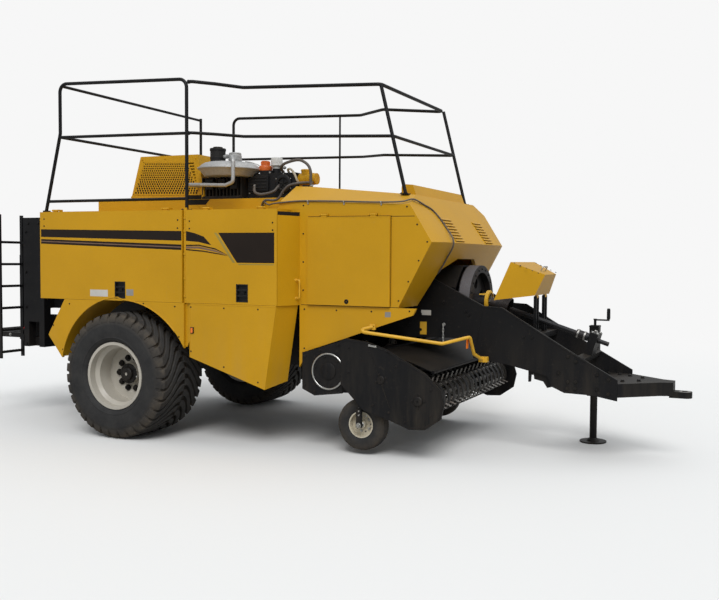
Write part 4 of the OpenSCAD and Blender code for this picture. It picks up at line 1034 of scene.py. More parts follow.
def air_housings():
    """The two black housings, the rear one hollowed round the blower's saucer, and the yellow cylinder."""
    y = ENGINE_Y + 0.05
    big = Mesh().box((1.193, y, ENGINE_FOOT), (1.489, y + 0.38, 2.833))
    saucer = Mesh().disc(0.342, 2.763, 2.863, Matrix.Translation((1.004, ENGINE_Y, 0)), 64)
    mesh = carved(big, [saucer])
    mesh.box((1.489, y, ENGINE_FOOT), (1.779, y + 0.33, 2.803))
    mesh.disc(0.045, 2.802, 2.883, Matrix.Translation((1.50, y + 0.08, 0)), 32, 0.004)
    mesh.box((1.230, y - 0.012, 2.600), (1.450, y + 0.001, 2.800))
    mesh.disc(0.090, -0.001, 0.014, placed(LID, (0, -1, 0)), 48, 0.004)
    piece = mesh.moved(ENGINE).make("air_housings", "root", PLASTIC, "black_plastic", bevel=0.004)
    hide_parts("air_cleaner")
    tank = Mesh()
    tank.lathe([(0.004, 0.0), (0.050, 0.0), (0.059, 0.009), (0.059, 0.206), (0.004, 0.206)],
               placed(TANK, (1, 0, 0)), 48)
    tank.disc(0.050, 0.0, 0.100, TANK_POST, 40, 0.006)
    tank.box((1.785, -0.74, ENGINE_FOOT), (1.80, -0.70, 2.690))
    tank.moved(ENGINE).make("fluid_tank", "root", YELLOW, "yellow_paint", bevel=0.0008)


def ring_of(mesh, centre, direction, radius, count, across, head, start=0.0, washer=True):
    """Bolts round a circle."""
    place = placed(centre, direction)
    for spot in circle(radius, count, 0.0, start):
        mesh.bolt(place @ spot, direction, across, head, washer)


def blower():
    """The saucer of the blower with its ribs and bolts, the small canister and the bent pipe."""
    mesh = Mesh()
    at = Matrix.Translation((1.004, ENGINE_Y, 2.7683))
    mesh.lathe([(0.02, 0.0), (0.260, 0.0), (0.268, 0.006), (0.285, 0.030), (0.306, 0.056), (0.322, 0.069),
                (0.333, 0.072), (0.336, 0.076), (0.336, 0.083), (0.332, 0.087), (0.322, 0.089), (0.311, 0.104),
                (0.290, 0.124), (0.262, 0.139), (0.226, 0.149), (0.196, 0.1525), (0.186, 0.151),
                (0.182, 0.143), (0.02, 0.143)], at, 96)
    mesh.lathe([(0.004, 0.140), (0.118, 0.140), (0.118, 0.147), (0.112, 0.1525), (0.030, 0.1525),
                (0.004, 0.1525)], at, 48)
    for turn in turns(24):
        mesh.box((0.116, -0.003, 0.142), (0.186, 0.003, 0.149), at @ turn)
    for spot in circle(0.327, 14, 0.0865, math.pi / 14):
        mesh.bolt(at @ spot, (0, 0, 1), 0.011, 0.006, False)
    can = Matrix.Translation((1.084, ENGINE_Y - 0.02, 2.9203))
    mesh.lathe([(0.004, 0.0), (0.066, 0.0), (0.068, 0.003), (0.068, 0.070), (0.062, 0.078), (0.064, 0.081),
                (0.064, 0.092), (0.056, 0.100), (0.020, 0.104), (0.004, 0.104)], can, 40)
    mesh.lathe([(0.0675, 0.020), (0.0715, 0.021), (0.0715, 0.034), (0.0675, 0.035)], can, 40)
    route = rounded([(0.9323, ENGINE_Y, 2.988), (0.975, ENGINE_Y, 2.988), (1.065, ENGINE_Y - 0.06, 2.983),
                     (1.234, ENGINE_Y - 0.275, 2.918), (1.237, ENGINE_Y - 0.28, 2.690),
                     (1.140, ENGINE_Y - 0.27, 2.660), (0.640, ENGINE_Y - 0.22, 2.680),
                     (0.640, ENGINE_Y - 0.01, 2.680), (0.640, ENGINE_Y - 0.01, ENGINE_FOOT)], 0.038, 8)
    mesh.tube(route, 0.0195, 22)
    for k in (2, len(route) - 3):
        p = route[k]
        mesh.lathe([(0.0195, -0.009), (0.0235, -0.008), (0.0235, 0.008), (0.0195, 0.009)],
                   placed(p, route[k + 1] - p), 24)
    piece = mesh.moved(ENGINE).make("blower_housing", "root", ALLOY, "cast_alloy", 30, bevel=0.0008)
    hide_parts("engine_blower")


def clamp(mesh, route, k, radius):
    """A worm clamp round a hose at one point of its route."""
    p = Vector(route[k])
    along = Vector(route[k + 1]) - p
    place = placed(p, along)
    mesh.sleeve(radius, radius + 0.002, 0.006, place, 24)
    mesh.box((radius + 0.001, -0.007, -0.006), (radius + 0.008, 0.007, 0.006), place)


def hoses():
    """The engine's two hoses, the loop between its housings, the breather tube and their clamps."""
    arch = smooth_route([(1.520, -0.60, 2.812), (1.522, -0.66, 2.855), (1.560, -0.72, 2.880),
                         (1.628, -0.74, 2.912), (1.774, -0.74, 2.937), (1.875, -0.74, 2.892),
                         (1.918, -0.74, 2.816), (1.920, -0.74, 2.704), (1.932, -0.735, 2.640)], 8)
    low = smooth_route([(1.870, -0.60, 2.715), (1.872, -0.72, 2.702), (1.825, -0.835, 2.687),
                        (1.725, -0.85, 2.662), (1.653, -0.85, 2.602), (1.609, -0.85, 2.540),
                        (1.551, -0.85, 2.516), (1.448, -0.85, 2.518), (1.374, -0.80, 2.481),
                        (1.350, -0.745, 2.470)], 8)
    arch_r = 0.015
    low_r = 0.013
    loop_r = 0.014
    mesh = Mesh()
    mesh.tube(arch, arch_r, 20)
    mesh.tube(low, low_r, 20)
    mesh.make("engine_hose_pair", "root", GREY_HOSE, "black_plastic")
    more = Mesh()
    loop = smooth_route([(1.30, -0.83, 2.68), (1.33, -0.88, 2.61), (1.40, -0.905, 2.578),
                         (1.48, -0.905, 2.580), (1.56, -0.88, 2.605), (1.58, -0.82, 2.66),
                         (1.57, -0.79, 2.69)], 8)
    more.tube(loop, loop_r, 18)
    more.moved(ENGINE).make("engine_hose_loop", "root", GREY_HOSE)
    pale = Mesh()
    pale.tube(smooth_route([(1.585, -0.60, 2.812), (1.587, -0.640, 2.850), (1.620, -0.655, 2.858),
                            (1.655, -0.660, 2.835), (1.685, -0.658, 2.790), (1.700, -0.640, 2.735),
                            (1.706, -0.600, 2.712)], 8), 0.012, 16)
    pale.make("engine_breather_tube", "root", CREAM)
    bands = Mesh()
    clamp(bands, loop, 2, loop_r)
    clamp(bands, loop, len(loop) - 3, loop_r)
    bands = bands.moved(ENGINE)
    for route, radius in ((arch, arch_r), (low, low_r)):
        clamp(bands, route, 3, radius)
        clamp(bands, route, len(route) - 5, radius)
    bands.make("hose_clamps", "root", ZINC)


def hood_cable():
    """The cable along the hood's shoulder and down its front, with three clips."""
    route = smooth_route([(1.368, -0.745, 2.512), (1.470, -0.90, 2.492), (1.600, -1.03, 2.458),
                          (1.730, -1.108, 2.466), (2.008, -1.109, 2.484), (2.450, -1.109, 2.475),
                          (2.871, -1.109, 2.460), (3.110, -1.104, 2.462), (3.186, -1.000, 2.489),
                          (3.226, -0.820, 2.446), (3.268, -0.665, 2.389), (3.376, -0.615, 2.237),
                          (3.490, -0.700, 2.083), (3.382, -0.612, 1.923), (3.302, -0.588, 1.805),
                          (3.250, -0.560, 1.765)], 8)
    radius = 0.0078
    mesh = Mesh().tube(route, radius, 16)
    mesh.make("hood_shoulder_cable", "root", GREY_HOSE, "black_paint")
    clips = Mesh()
    for x in (2.10, 2.50, 2.90):
        z = 2.484 - (x - 2.008) * 0.0275
        clips.sleeve(radius, radius + 0.002, 0.006, placed((x, -1.109, z), (1, 0, 0)), 20)
        clips.box((x - 0.006, -1.108, z - 0.030), (x + 0.006, -1.0995, z - 0.006))
    clips.make("cable_clips", "root", ZINC)


def engine_trim():
    """Covers, lids, ribs, fittings, filter can, filler knob and bands of the engine's parts."""
    dark = Mesh()
    # Lid and strap of the tall canister beside the blower's top.
    dark.lathe([(0.079, 3.070), (0.085, 3.072), (0.085, 3.094), (0.079, 3.0995)], CANISTER, 40)
    dark.lathe([(0.079, 2.985), (0.0825, 2.986), (0.0825, 3.004), (0.079, 3.005)], CANISTER, 40)
    # The finned block's head covers, plugs and foot bolts.
    for k in range(3):
        x = 0.745 + 0.15 * k
        dark.box((x, ENGINE_Y - 0.062, 2.640), (x + 0.085, ENGINE_Y - 0.036, 2.745))
        dark.disc(0.022, 0.0, 0.020, placed((x + 0.0425, ENGINE_Y - 0.062, 2.700), (0, -1, 0)), 20, 0.003)
    for x in (0.70, 0.86, 1.01, 1.155):
        dark.bolt((x, ENGINE_Y - 0.04, 2.560), (0, -1, 0), 0.014, 0.008)
    # Ribs, rim and screws of the two black housings.
    dark.box((1.215, -0.824, 2.62), (1.46, -0.808, 2.78))
    for k in range(4):
        z = 2.645 + k * 0.035
        dark.box((1.235, -0.829, z), (1.44, -0.822, z + 0.014))
    lid = placed((LID.x, -0.813, LID.z), (0, -1, 0))
    dark.lathe([(0.060, 0.0), (0.094, 0.0), (0.094, 0.010), (0.084, 0.016), (0.060, 0.016)], lid, 48)
    for turn in turns(5):
        dark.box((0.0, -0.004, 0.0), (0.064, 0.004, 0.010), lid @ turn)
    dark.moved(ENGINE).make("engine_covers", "root", PLASTIC, "black_plastic", bevel=0.003)
    shine = Mesh()
    shine.bolts([(x, z) for x in (1.215, 1.465) for z in (2.60, 2.81)], -0.80, 0.013, 0.007)
    ring_of(shine, (LID.x, -0.8135, LID.z), (0, -1, 0), 0.1, 6, 0.010, 0.006, washer=False)
    # Filter head under the pale can and its fitting.
    shine.lathe([(0.010, 0.0), (0.052, 0.0), (0.052, 0.022), (0.046, 0.030), (0.010, 0.030)],
                Matrix.Translation((FILTER_X, FILTER_Y, 2.852)), 32)
    shine.tube([(1.545, -0.72, 2.863), (1.60, -0.73, 2.863)], 0.012, 14)
    shine.bolt((1.60, -0.73, 2.863), (1, 0, 0), 0.024, 0.018)
    shine.tube(smooth_route([(1.17, -0.81, 2.933), (1.22, -0.76, 2.925), (1.27, -0.73, 2.905),
                             (1.31, -0.72, 2.88)]), 0.006, 12)
    shine.moved(ENGINE).make("engine_fittings", "root", ZINC, bevel=0.0008)
    cap = Mesh()
    cap.lathe([(0.004, 0.0), (0.062, 0.0), (0.0645, 0.003), (0.0645, 0.012), (0.061, 0.015), (0.061, 0.074),
               (0.056, 0.086), (0.03, 0.090), (0.004, 0.090)],
              Matrix.Translation((FILTER_X, FILTER_Y, 2.8833)), 40)
    cap.moved(ENGINE).make("fuel_filter", "root", WHITE, "gauge_rim_paint", bevel=0.0006)
    knob = Mesh()
    at = Matrix.Translation((1.362, FILTER_Y, 2.8333))
    knob.lathe([(0.004, 0.0), (0.068, 0.0), (0.070, 0.004), (0.070, 0.040), (0.062, 0.056), (0.047, 0.060),
                (0.045, 0.066), (0.045, 0.100), (0.038, 0.108), (0.004, 0.109)], at, 40)
    for turn in turns(12):
        knob.box((0.044, -0.004, 0.066), (0.049, 0.004, 0.100), at @ turn)
    knob.moved(ENGINE).make("filler_knob", "root", ORANGE_PLASTIC, bevel=0.0006)
    tank = Mesh()
    for x in (1.80, 1.87, 1.94):
        tank.lathe([(0.058, -0.008), (0.062, -0.007), (0.062, 0.007), (0.058, 0.008)],
                   placed((x, TANK.y, TANK.z), (1, 0, 0)), 40)
    tank.lathe([(0.049, 0.080), (0.054, 0.081), (0.054, 0.094), (0.049, 0.0995)], TANK_POST, 32)
    tank.moved(ENGINE).make("tank_bands", "root", YELLOW, "yellow_paint", bevel=0.0008)


deck_step()
engine_block()
air_housings()
blower()
hoses()
hood_cable()
engine_trim()


# The hood: its shell and rear end, bolts, seams, louvre lips, locks, handles and a blank plate.

HOOD_Y = 1.10
HOOD_EDGE = 0.84
HOOD_DOOR_Y = 1.125
# Y where the two columns of louvres start, and their tops' heights.
LOUVRE_Y = (-0.57, 0.355)
LOUVRE_Z = [2.320 - 0.030 * k for k in range(8)]


def hood_front(z):
    """The X of the hood's upper front face at a height."""
    return 3.144 + (2.545 - z) * 0.7143


def across_hood(outer, middle):
    """Corners and walls of a solid that has the outline outer at both sides and middle between them."""
    rows = [(-HOOD_Y, outer), (-HOOD_EDGE, middle), (HOOD_EDGE, middle), (HOOD_Y, outer)]
    n = len(outer)
    walls = []
    for j in range(3):
        for k in range(n):
            a = j * n + k
            b = j * n + (k + 1) % n
            walls += [(a, a + n, b + n), (a, b + n, b)]
    return [(x, y, z) for y, ring in rows for x, z in ring], walls


def hood_shell():
    """The hood's sides, sloped shoulders and corners, roof and front, as one hollow shell."""
    side_ring = [(2.005, 2.480), (3.195, 2.435), (3.420, 2.080), (3.080, 1.450), (2.005, 1.450)]
    front_ring = [(2.005, 2.646), (3.144, 2.545), (3.474, 2.083), (3.060, 1.450), (2.005, 1.450)]
    verts, walls = across_hood(side_ring, front_ring)
    outer = Mesh().add(verts, [tuple(range(5)), tuple(range(15, 20))] + walls)
    under = [(1.905, 1.430), (1.905, 2.400), (2.035, 2.400)]
    low = Mesh().side([(2.035, 2.449), (3.150, 2.405), (3.375, 2.080), (3.020, 1.430)] + under, -1.07, -2.14)
    high = Mesh().side([(2.035, 2.613), (3.118, 2.513), (3.430, 2.081), (3.020, 1.430)] + under, -HOOD_EDGE,
                       -2 * HOOD_EDGE)
    gate = [(-0.58, 1.40), (0.58, 1.40), (0.58, 1.80), (0.26, 1.925), (-0.26, 1.925), (-0.58, 1.80)]
    around = [(k, (k + 1) % 6, 6 + (k + 1) % 6, 6 + k) for k in range(6)]
    cuts = Mesh().add([(x, y, z) for x in (2.95, 3.60) for y, z in gate],
                      [(5, 4, 3, 2, 1, 0), (6, 7, 8, 9, 10, 11)] + around)
    for side in SIDES:
        a, b = sorted((side * 1.06, side * 1.11))
        cuts.box((2.135, a, 1.490), (2.970, b, 2.295))
    for y in LOUVRE_Y:
        for z in LOUVRE_Z:
            cuts.box((hood_front(z) - 0.07, y, z - 0.011), (hood_front(z) + 0.06, y + 0.255, z))
    mesh = carved(outer, [low, high, cuts])
    ridge = [(2.930, 2.555), (2.930, 2.640), (2.960, 2.662), (3.050, 2.655), (3.092, 2.545)]
    mesh.side(ridge, -0.70, -1.40)
    for x in (2.285, 2.820):
        hinge_lugs(mesh, x, -HOOD_Y, 2.325)
        other = Mesh()
        hinge_lugs(other, x, -HOOD_Y, 2.325)
        other.flip()
        mesh.add(other.verts, other.faces)
    piece = mesh.make("hood_shell", "root", YELLOW, "yellow_paint")
    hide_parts("hood")
    # The hood's rear end over the deck.
    rear_side = [(1.74, 2.401), (2.006, 2.401), (2.006, 2.480), (1.78, 2.486)]
    rear_mid = [(1.81, 2.401), (2.006, 2.401), (2.006, 2.646), (1.81, 2.655)]
    verts, walls = across_hood(rear_side, rear_mid)
    rear = Mesh().add(verts, [(0, 1, 2, 3), (15, 14, 13, 12)] + walls)
    rear.make("hood_rear_end", "root", YELLOW, "yellow_paint")


hood_shell()


def facet(side, share, out=0.0):
    """A place on the slanted panel between the front door and the hood, standing out from it."""
    x = 1.920 + 0.085 * share
    y = 1.380 - 0.280 * share
    n = math.hypot(0.28, 0.085)
    return x + out * 0.28 / n, side * (y + out * 0.085 / n)


def hood_trim():
    bolts = Mesh()
    for side in SIDES:
        bolts.rivets(((3.165, 2.413), (3.272, 2.245), (3.375, 2.082), (3.290, 1.905), (3.185, 1.705),
                      (3.085, 1.520), (2.045, 2.440), (2.045, 2.160), (2.045, 1.880), (2.045, 1.600)),
                     side * HOOD_Y)
    bolts.make("hood_bolts", "root", BLACK, "black_paint")
    lips = Mesh()
    for y in LOUVRE_Y:
        for z in LOUVRE_Z:
            x = hood_front(z)
            lips.add([(x - 0.004, y - 0.006, z + 0.010), (x - 0.004, y + 0.261, z + 0.010),
                      (x + 0.017, y + 0.255, z - 0.004), (x + 0.017, y, z - 0.004),
                      (x - 0.004, y - 0.006, z + 0.004), (x - 0.004, y + 0.261, z + 0.004),
                      (x + 0.017, y + 0.255, z - 0.008), (x + 0.017, y, z - 0.008)], BOX_FACES)
    lips.make("louvre_lips", "root", YELLOW, "yellow_paint")
    seams = Mesh()
    for side in SIDES:
        y = side * HOOD_Y
        seams.side([(3.004, 2.321), (3.246, 2.321), (3.244, 2.326), (3.004, 2.326)], y, FILM)
        seams.side([(2.022, 1.452), (3.080, 1.452), (3.082, 1.457), (2.022, 1.457)], y, FILM)
        for gap in ((2.099, 1.470, 2.104, 2.330), (3.001, 1.470, 3.006, 2.330),
                    (2.099, 1.4585, 3.006, 1.4635), (2.099, 2.326, 3.006, 2.331)):
            seams.side(rect(*gap), y, FILM)
    seams.make("hood_seams", "root", DARK)
    for side in SIDES:
        name = "hood_door_" + SIDE_NAME[side]
        lock = Mesh()
        lock.lathe([(0.004, 0.0), (0.023, 0.0), (0.023, 0.003), (0.017, 0.006), (0.015, 0.004),
                    (0.004, 0.004)], placed((2.541, side * HOOD_DOOR_Y, 1.500), (0, side, 0)), 32)
        lock.make("lock_" + name, name, BLACK, "black_paint")
        fold = Mesh()
        for z in (1.460, 2.315):
            fold.side(rect(2.105, z, 3.000, z + 0.010), side * HOOD_DOOR_Y, 0.0015)
        fold.make("edge_" + name, name, YELLOW, "yellow_paint", bevel=0.0006)
    grips = Mesh()
    for side in SIDES:
        route = []
        for out, z in ((0.0, 1.520), (0.048, 1.520), (0.048, 1.700), (0.0, 1.700)):
            x, y = facet(side, 0.84, out)
            route.append((x, y, z))
        grips.tube(rounded(route, 0.016, 8), 0.008, 16)
        for z in (1.520, 1.700):
            x, y = facet(side, 0.84)
            n = Vector((0.28, side * 0.085, 0)).normalized()
            grips.disc(0.017, -0.001, 0.004, placed((x, y, z), n), 20, 0.001)
    grips.make("grab_handles", "root", SAFETY, "yellow_paint")
    joint = Mesh()
    for side in SIDES:
        (ax, ay), (bx, by) = facet(side, 0.01), facet(side, 0.99)
        (cx, cy), (dx, dy) = facet(side, 0.99, 0.0008), facet(side, 0.01, 0.0008)
        outline = [(ax, ay), (bx, by), (cx, cy), (dx, dy)]
        joint.prism(outline, 0.035, Matrix.Translation((0, 0, 2.335)))
    joint.make("slant_joint", "root", DARK)
    plates = Mesh()
    plates.side([(2.945, 1.360), (3.005, 1.362), (3.005, 1.412), (2.945, 1.410)], -HOOD_Y, 0.0008)
    plates.make("skirt_plate", "root", GREY_FILM)
    skirt = Mesh()
    for side in SIDES:
        skirt.rivets(((2.06, 1.41), (2.42, 1.41), (2.80, 1.41), (3.20, 1.425), (2.06, 1.02)), side * HOOD_Y)
    skirt.make("skirt_bolts", "root", BLACK, "black_paint")
    ridge = Mesh()
    for y in (-0.62, -0.31, 0.0, 0.31, 0.62):
        ridge.rivet((3.00, y, 2.6585), (-0.08, 0, 1), 0.008, 0.005)
    ridge.make("ridge_rivets", "root", ZINC)


hood_trim()


# The boxes, fenders and shields: bolts, clips at the post, the fender's rolled edge and the arch's lining.


def body_trim(side):
    name = SIDE_NAME[side]
    y = side * FACE
    bolts = Mesh()
    bolts.rivets(((-0.70, 1.40), (-0.30, 1.43), (0.30, 1.43), (0.70, 1.41), (0.90, 1.41), (1.30, 1.41),
                  (1.70, 1.41), (0.90, 0.96), (1.30, 0.82), (1.70, 0.69), (-0.93, 1.16), (-0.80, 0.90),
                  (0.75, 1.10)), y)
    bolts.make("panel_bolts_" + name, "root", BLACK, "black_paint")
    edge = Mesh()
    arch = []
    arch_r = 0.822
    for i in range(31):
        a = math.radians(169.5 - i * 79.5 / 30)
        if a > math.pi / 2:
            arch.append((arch_r * math.cos(a), y, AXLE_Z + arch_r * math.sin(a)))
    for i in range(22):
        a = math.radians(88 - i * 2.2)
        x, z = 0.934 * math.cos(a), 0.528 + 0.934 * math.sin(a)
        if x < 0.80:
            arch.append((x, y, z))
    edge.tube(arch, 0.006, 10)
    edge.make("arch_edge_" + name, "root", YELLOW, "yellow_paint")
    clips = Mesh()
    for z in (2.315, 2.185, 1.95, 1.70, 1.52):
        clips.sleeve(0.017, 0.0205, 0.011, placed((0.815, side * 1.352, z)), 28)
    clips.make("post_clips_" + name, "root", YELLOW, "yellow_paint")
    liner = Mesh()
    rings = []
    near, far = sorted((side * 0.94, side * 1.379))
    for i in range(31):
        a = math.radians(105 + i * 2.13)
        rings.append([(r * math.cos(a), w, AXLE_Z + r * math.sin(a))
                      for r, w in ((0.819, near), (0.819, far), (arch_r, far), (arch_r, near))])
    liner.loft(rings)
    liner.make("arch_liner_" + name, "root", YELLOW, "yellow_paint")
    fold = Mesh()
    fold.side([(0.884, 0.905), (0.896, 0.902), (0.896, 1.448), (0.884, 1.448)], y, 0.002)
    fold.side(rect(0.884, 1.436, 1.905, 1.448), y, 0.002)
    fold.make("shield_fold_" + name, "root", YELLOW, "yellow_paint", bevel=0.0008)
    lamp_case = Mesh()
    near, far = sorted((y, y + side * 0.012))
    lamp_case.box((0.898, near, 1.143), (0.937, far, 1.207))
    lamp_case.make("marker_case_" + name, "root", PLASTIC, "black_plastic", bevel=0.003)


for side in SIDES:
    body_trim(side)


# The tongue, flywheel, driveline, gearbox, front cover, hitch, jack and chains.

TONGUE_Y = 0.45
FLYWHEEL_AT = placed((3.42, 0, 1.48), (1, 0, 0))


def tongue_trim():
    """Bolts, weld seams and blank plates on the tongue's sides."""
    bolts = Mesh()
    for side in SIDES:
        bolts.bolts(((3.122, 1.667), (3.299, 1.488), (3.534, 1.405), (3.567, 1.366), (4.578, 1.000),
                     (4.656, 0.955), (4.488, 0.836), (4.582, 0.755), (4.655, 0.759), (4.574, 0.690),
                     (4.652, 0.693), (2.32, 1.66), (2.32, 1.25), (2.62, 1.66), (2.62, 1.25), (2.92, 1.66),
                     (2.92, 1.25), (4.86, 0.84), (4.97, 0.80), (4.86, 0.70), (4.97, 0.66)),
                    side * TONGUE_Y, 0.026, 0.014)
        bolts.bolts(((4.14, 1.165), (4.22, 1.165), (3.67, 0.975), (3.045, 1.20), (3.045, 1.36)),
                    side * TONGUE_Y, 0.019, 0.010)
    bolts.make("tongue_bolts", "root", BLACK, "black_paint")
    seam = Mesh()
    for side in SIDES:
        y = side * TONGUE_Y
        seam.side([(3.632, 1.017), (3.640, 1.016), (3.723, 1.452), (3.715, 1.454)], y, 0.003)
        for bead in ([(3.150, 1.722), (3.150, 1.736), (3.722, 1.456), (3.716, 1.444)],
                     [(3.724, 1.444), (3.722, 1.458), (3.910, 1.447), (3.906, 1.434)],
                     [(3.906, 1.434), (3.910, 1.447), (4.508, 1.098), (4.502, 1.086)],
                     [(4.502, 1.086), (4.508, 1.098), (4.756, 0.959), (4.750, 0.946)]):
            seam.side(bead, y, 0.004)
    seam.make("tongue_seams", "root", BLACK, "black_paint", bevel=0.0015)
    white = Mesh()
    white.side(rect(3.050, 1.350, 3.158, 1.402), -TONGUE_Y, 0.001)
    white.make("tongue_plate_pale", "root", PALE_FILM)
    yellow = Mesh()
    yellow.side(rect(3.038, 1.152, 3.112, 1.282), -TONGUE_Y, 0.001)
    yellow.make("tongue_plate_yellow", "root", SAFETY)


def drive_trim():
    """Trim of the flywheel, the driveline, its bearing block and the gearbox."""
    band = Mesh()
    band.lathe([(0.379, 0.008), (0.3812, 0.010), (0.3812, 0.120), (0.379, 0.122)], FLYWHEEL_AT, 128)
    band.make("flywheel_band", "flywheel", WORN_BAND, "flywheel_steel")
    guard = Mesh().lathe([(0.096, 0.196), (0.116, 0.192), (0.122, 0.196), (0.122, 0.222), (0.116, 0.228),
                          (0.096, 0.232)], FLYWHEEL_AT, 64)
    for turn in turns(4, math.pi / 4):
        guard.box((0.113, -0.009, 0.1295), (0.118, 0.009, 0.200), FLYWHEEL_AT @ turn)
    guard.make("hub_guard", "flywheel", SAFETY, "yellow_paint")
    pale = Mesh().lathe([(0.078, 0.186), (0.0955, 0.186), (0.0955, 0.214), (0.078, 0.214)], FLYWHEEL_AT, 48)
    pale.make("hub_guard_liner", "flywheel", WHITE)
    bolts = Mesh()
    ring_of(bolts, (3.60, 0, 1.48), (1, 0, 0), 0.068, 6, 0.020, 0.012)
    ring_of(bolts, (3.55, 0, 1.48), (1, 0, 0), 0.342, 20, 0.016, 0.009, washer=False)
    bolts.make("flywheel_bolts", "flywheel", BLACK, "black_paint")
    tilt = math.radians(17.5)
    axis = Vector((math.cos(tilt), 0, -math.sin(tilt)))
    start = Vector((3.66, 0, 1.476))
    line = Mesh()
    here = placed(start, axis)
    for k in range(6):
        h = 0.082 + 0.018 * k
        line.lathe([(0.110, h - 0.004), (0.1145, h - 0.002), (0.1145, h + 0.002), (0.110, h + 0.004)],
                   here, 48)
    line.make("driveline_bell_ribs", "driveline", PLASTIC, "black_plastic")
    joint = Mesh()
    for spot in circle(0.040, 4, 0.0605):
        joint.bolt(here @ spot, axis, 0.013, 0.008)
    for h in (0.95, 1.02):
        joint.lathe([(0.0415, h), (0.046, h + 0.002), (0.046, h + 0.018), (0.0415, h + 0.02)], here, 36)
    joint.make("driveline_collars", "driveline", STEEL)
    splines = Mesh()
    for turn in turns(20):
        splines.box((0.0195, -0.0016, 1.195), (0.0221, 0.0016, 1.272), here @ turn)
    splines.make("driveline_splines", "driveline", ZINC)
    block = Mesh()
    over = Vector((-axis.z, 0, axis.x))
    for y in (-0.075, 0.075):
        for along in (1.105, 1.155):
            block.bolt(start + axis * along + over * 0.07 + Vector((0, y, 0)), over, 0.022, 0.012)
    block.disc(0.009, 0.0, 0.018, placed(start + axis * 1.13 + over * 0.07, over), 16, 0.003)
    block.make("bearing_bolts", "root", ZINC)
    case = Mesh()
    ring_of(case, (3.06, 0, 1.48), (-1, 0, 0), 0.36, 8, 0.018, 0.010, 0.39)
    for side in SIDES:
        case.bolts([(x, z) for x in (2.33, 2.87) for z in (1.21, 1.47, 1.73)], side * 0.30, 0.024, 0.014)
    for x in (2.36, 2.60, 2.84):
        for y in (-0.26, 0.0, 0.26):
            case.bolt((x, y, 1.76), (0, 0, 1), 0.022, 0.012)
    ring_of(case, (2.95, 0, 1.48), (1, 0, 0), 0.125, 8, 0.018, 0.010)
    case.make("gearbox_bolts", "root", STEEL)
    vent = Mesh()
    vent.disc(0.016, 0.0, 0.035, Matrix.Translation((2.45, 0.18, 1.76)), 20, 0.005)
    vent.disc(0.026, 0.0, 0.006, placed((2.2995, -0.12, 1.45), (-1, 0, 0)), 24, 0.001)
    vent.make("gearbox_vent", "root", ZINC)


def cover_trim():
    """Handle and rivets of the tilting cover."""
    wire = Mesh()
    wire.tube(rounded([(4.196, -0.09, 1.80), (4.225, -0.09, 1.855), (4.225, 0.09, 1.855), (4.196, 0.09, 1.80)],
                      0.02, 8), 0.006, 14)
    wire.make("cover_handle", "front_cover", ZINC)
    rivets = Mesh()
    corner = Vector((3.990, 0, 1.900))
    top = (Vector((4.283, 0, 1.777)) - corner).normalized()
    normal = (-top.z, 0, top.x)
    for k in range(5):
        spot = corner + top * (0.03 + 0.062 * k)
        for y in (-0.40, 0.40):
            rivets.rivet((spot.x, y * (1 - 0.12 * k / 4), spot.z), normal, 0.008, 0.005)
    rivets.make("cover_rivets", "front_cover", BLACK, "black_paint")


def hitch_trim():
    """Bolts and wear rings of the hitch, and the jack's collars, crank end and foot weld."""
    bolts = Mesh()
    for x, y in ((4.83, 0.32), (4.95, 0.28), (5.06, 0.22), (5.20, 0.12)):
        for s in (-1, 1):
            bolts.bolt((x, s * y, 0.76), (0, 0, 1), 0.030, 0.018)
    bolts.make("hitch_bolts", "root", BLACK, "black_paint")
    ring = Mesh()
    eye = Matrix.Translation((5.62, 0, 0))
    ring.lathe([(0.0262, 0.6105), (0.040, 0.6085), (0.056, 0.6085), (0.060, 0.6105)], eye, 48)
    ring.lathe([(0.0262, 0.6695), (0.060, 0.6695), (0.056, 0.6715), (0.040, 0.6715)], eye, 48)
    ring.make("hitch_wear_ring", "root", STEEL)
    jack = Mesh()
    # The jack's own place.
    x, y = 4.64, 0.512
    for z in (0.545, 0.90, 1.225):
        for s in (-1, 1):
            inner, outer = sorted((s * 0.0485, s * 0.053))
            jack.box((x - 0.053, y + inner, z), (x + 0.053, y + outer, z + 0.012))
            jack.box((x + inner, y - 0.0485, z), (x + outer, y + 0.0485, z + 0.012))
    jack.bolts([(x + dx, z) for z in (0.74, 0.88) for dx in (-0.06, 0.06)], 0.46, 0.022, 0.012)
    jack.lathe([(0.0135, 0.0), (0.017, 0.001), (0.019, 0.02), (0.018, 0.10), (0.014, 0.115), (0.0135, 0.115)],
               Matrix.Translation((x + 0.14, y, 1.306)), 24)
    jack.disc(0.020, 1.300, 1.3095, Matrix.Translation((x, y, 0)), 24, 0.002)
    jack.make("jack_trim", "root", BLACK, "black_paint", bevel=0.001)
    foot = Mesh()
    foot.lathe([(0.0375, 0.014), (0.070, 0.0145), (0.066, 0.020), (0.040, 0.046), (0.0375, 0.046)],
               Matrix.Translation((x, y, 0)), 40)
    foot.make("jack_foot_weld", "jack", BLACK, "black_paint")


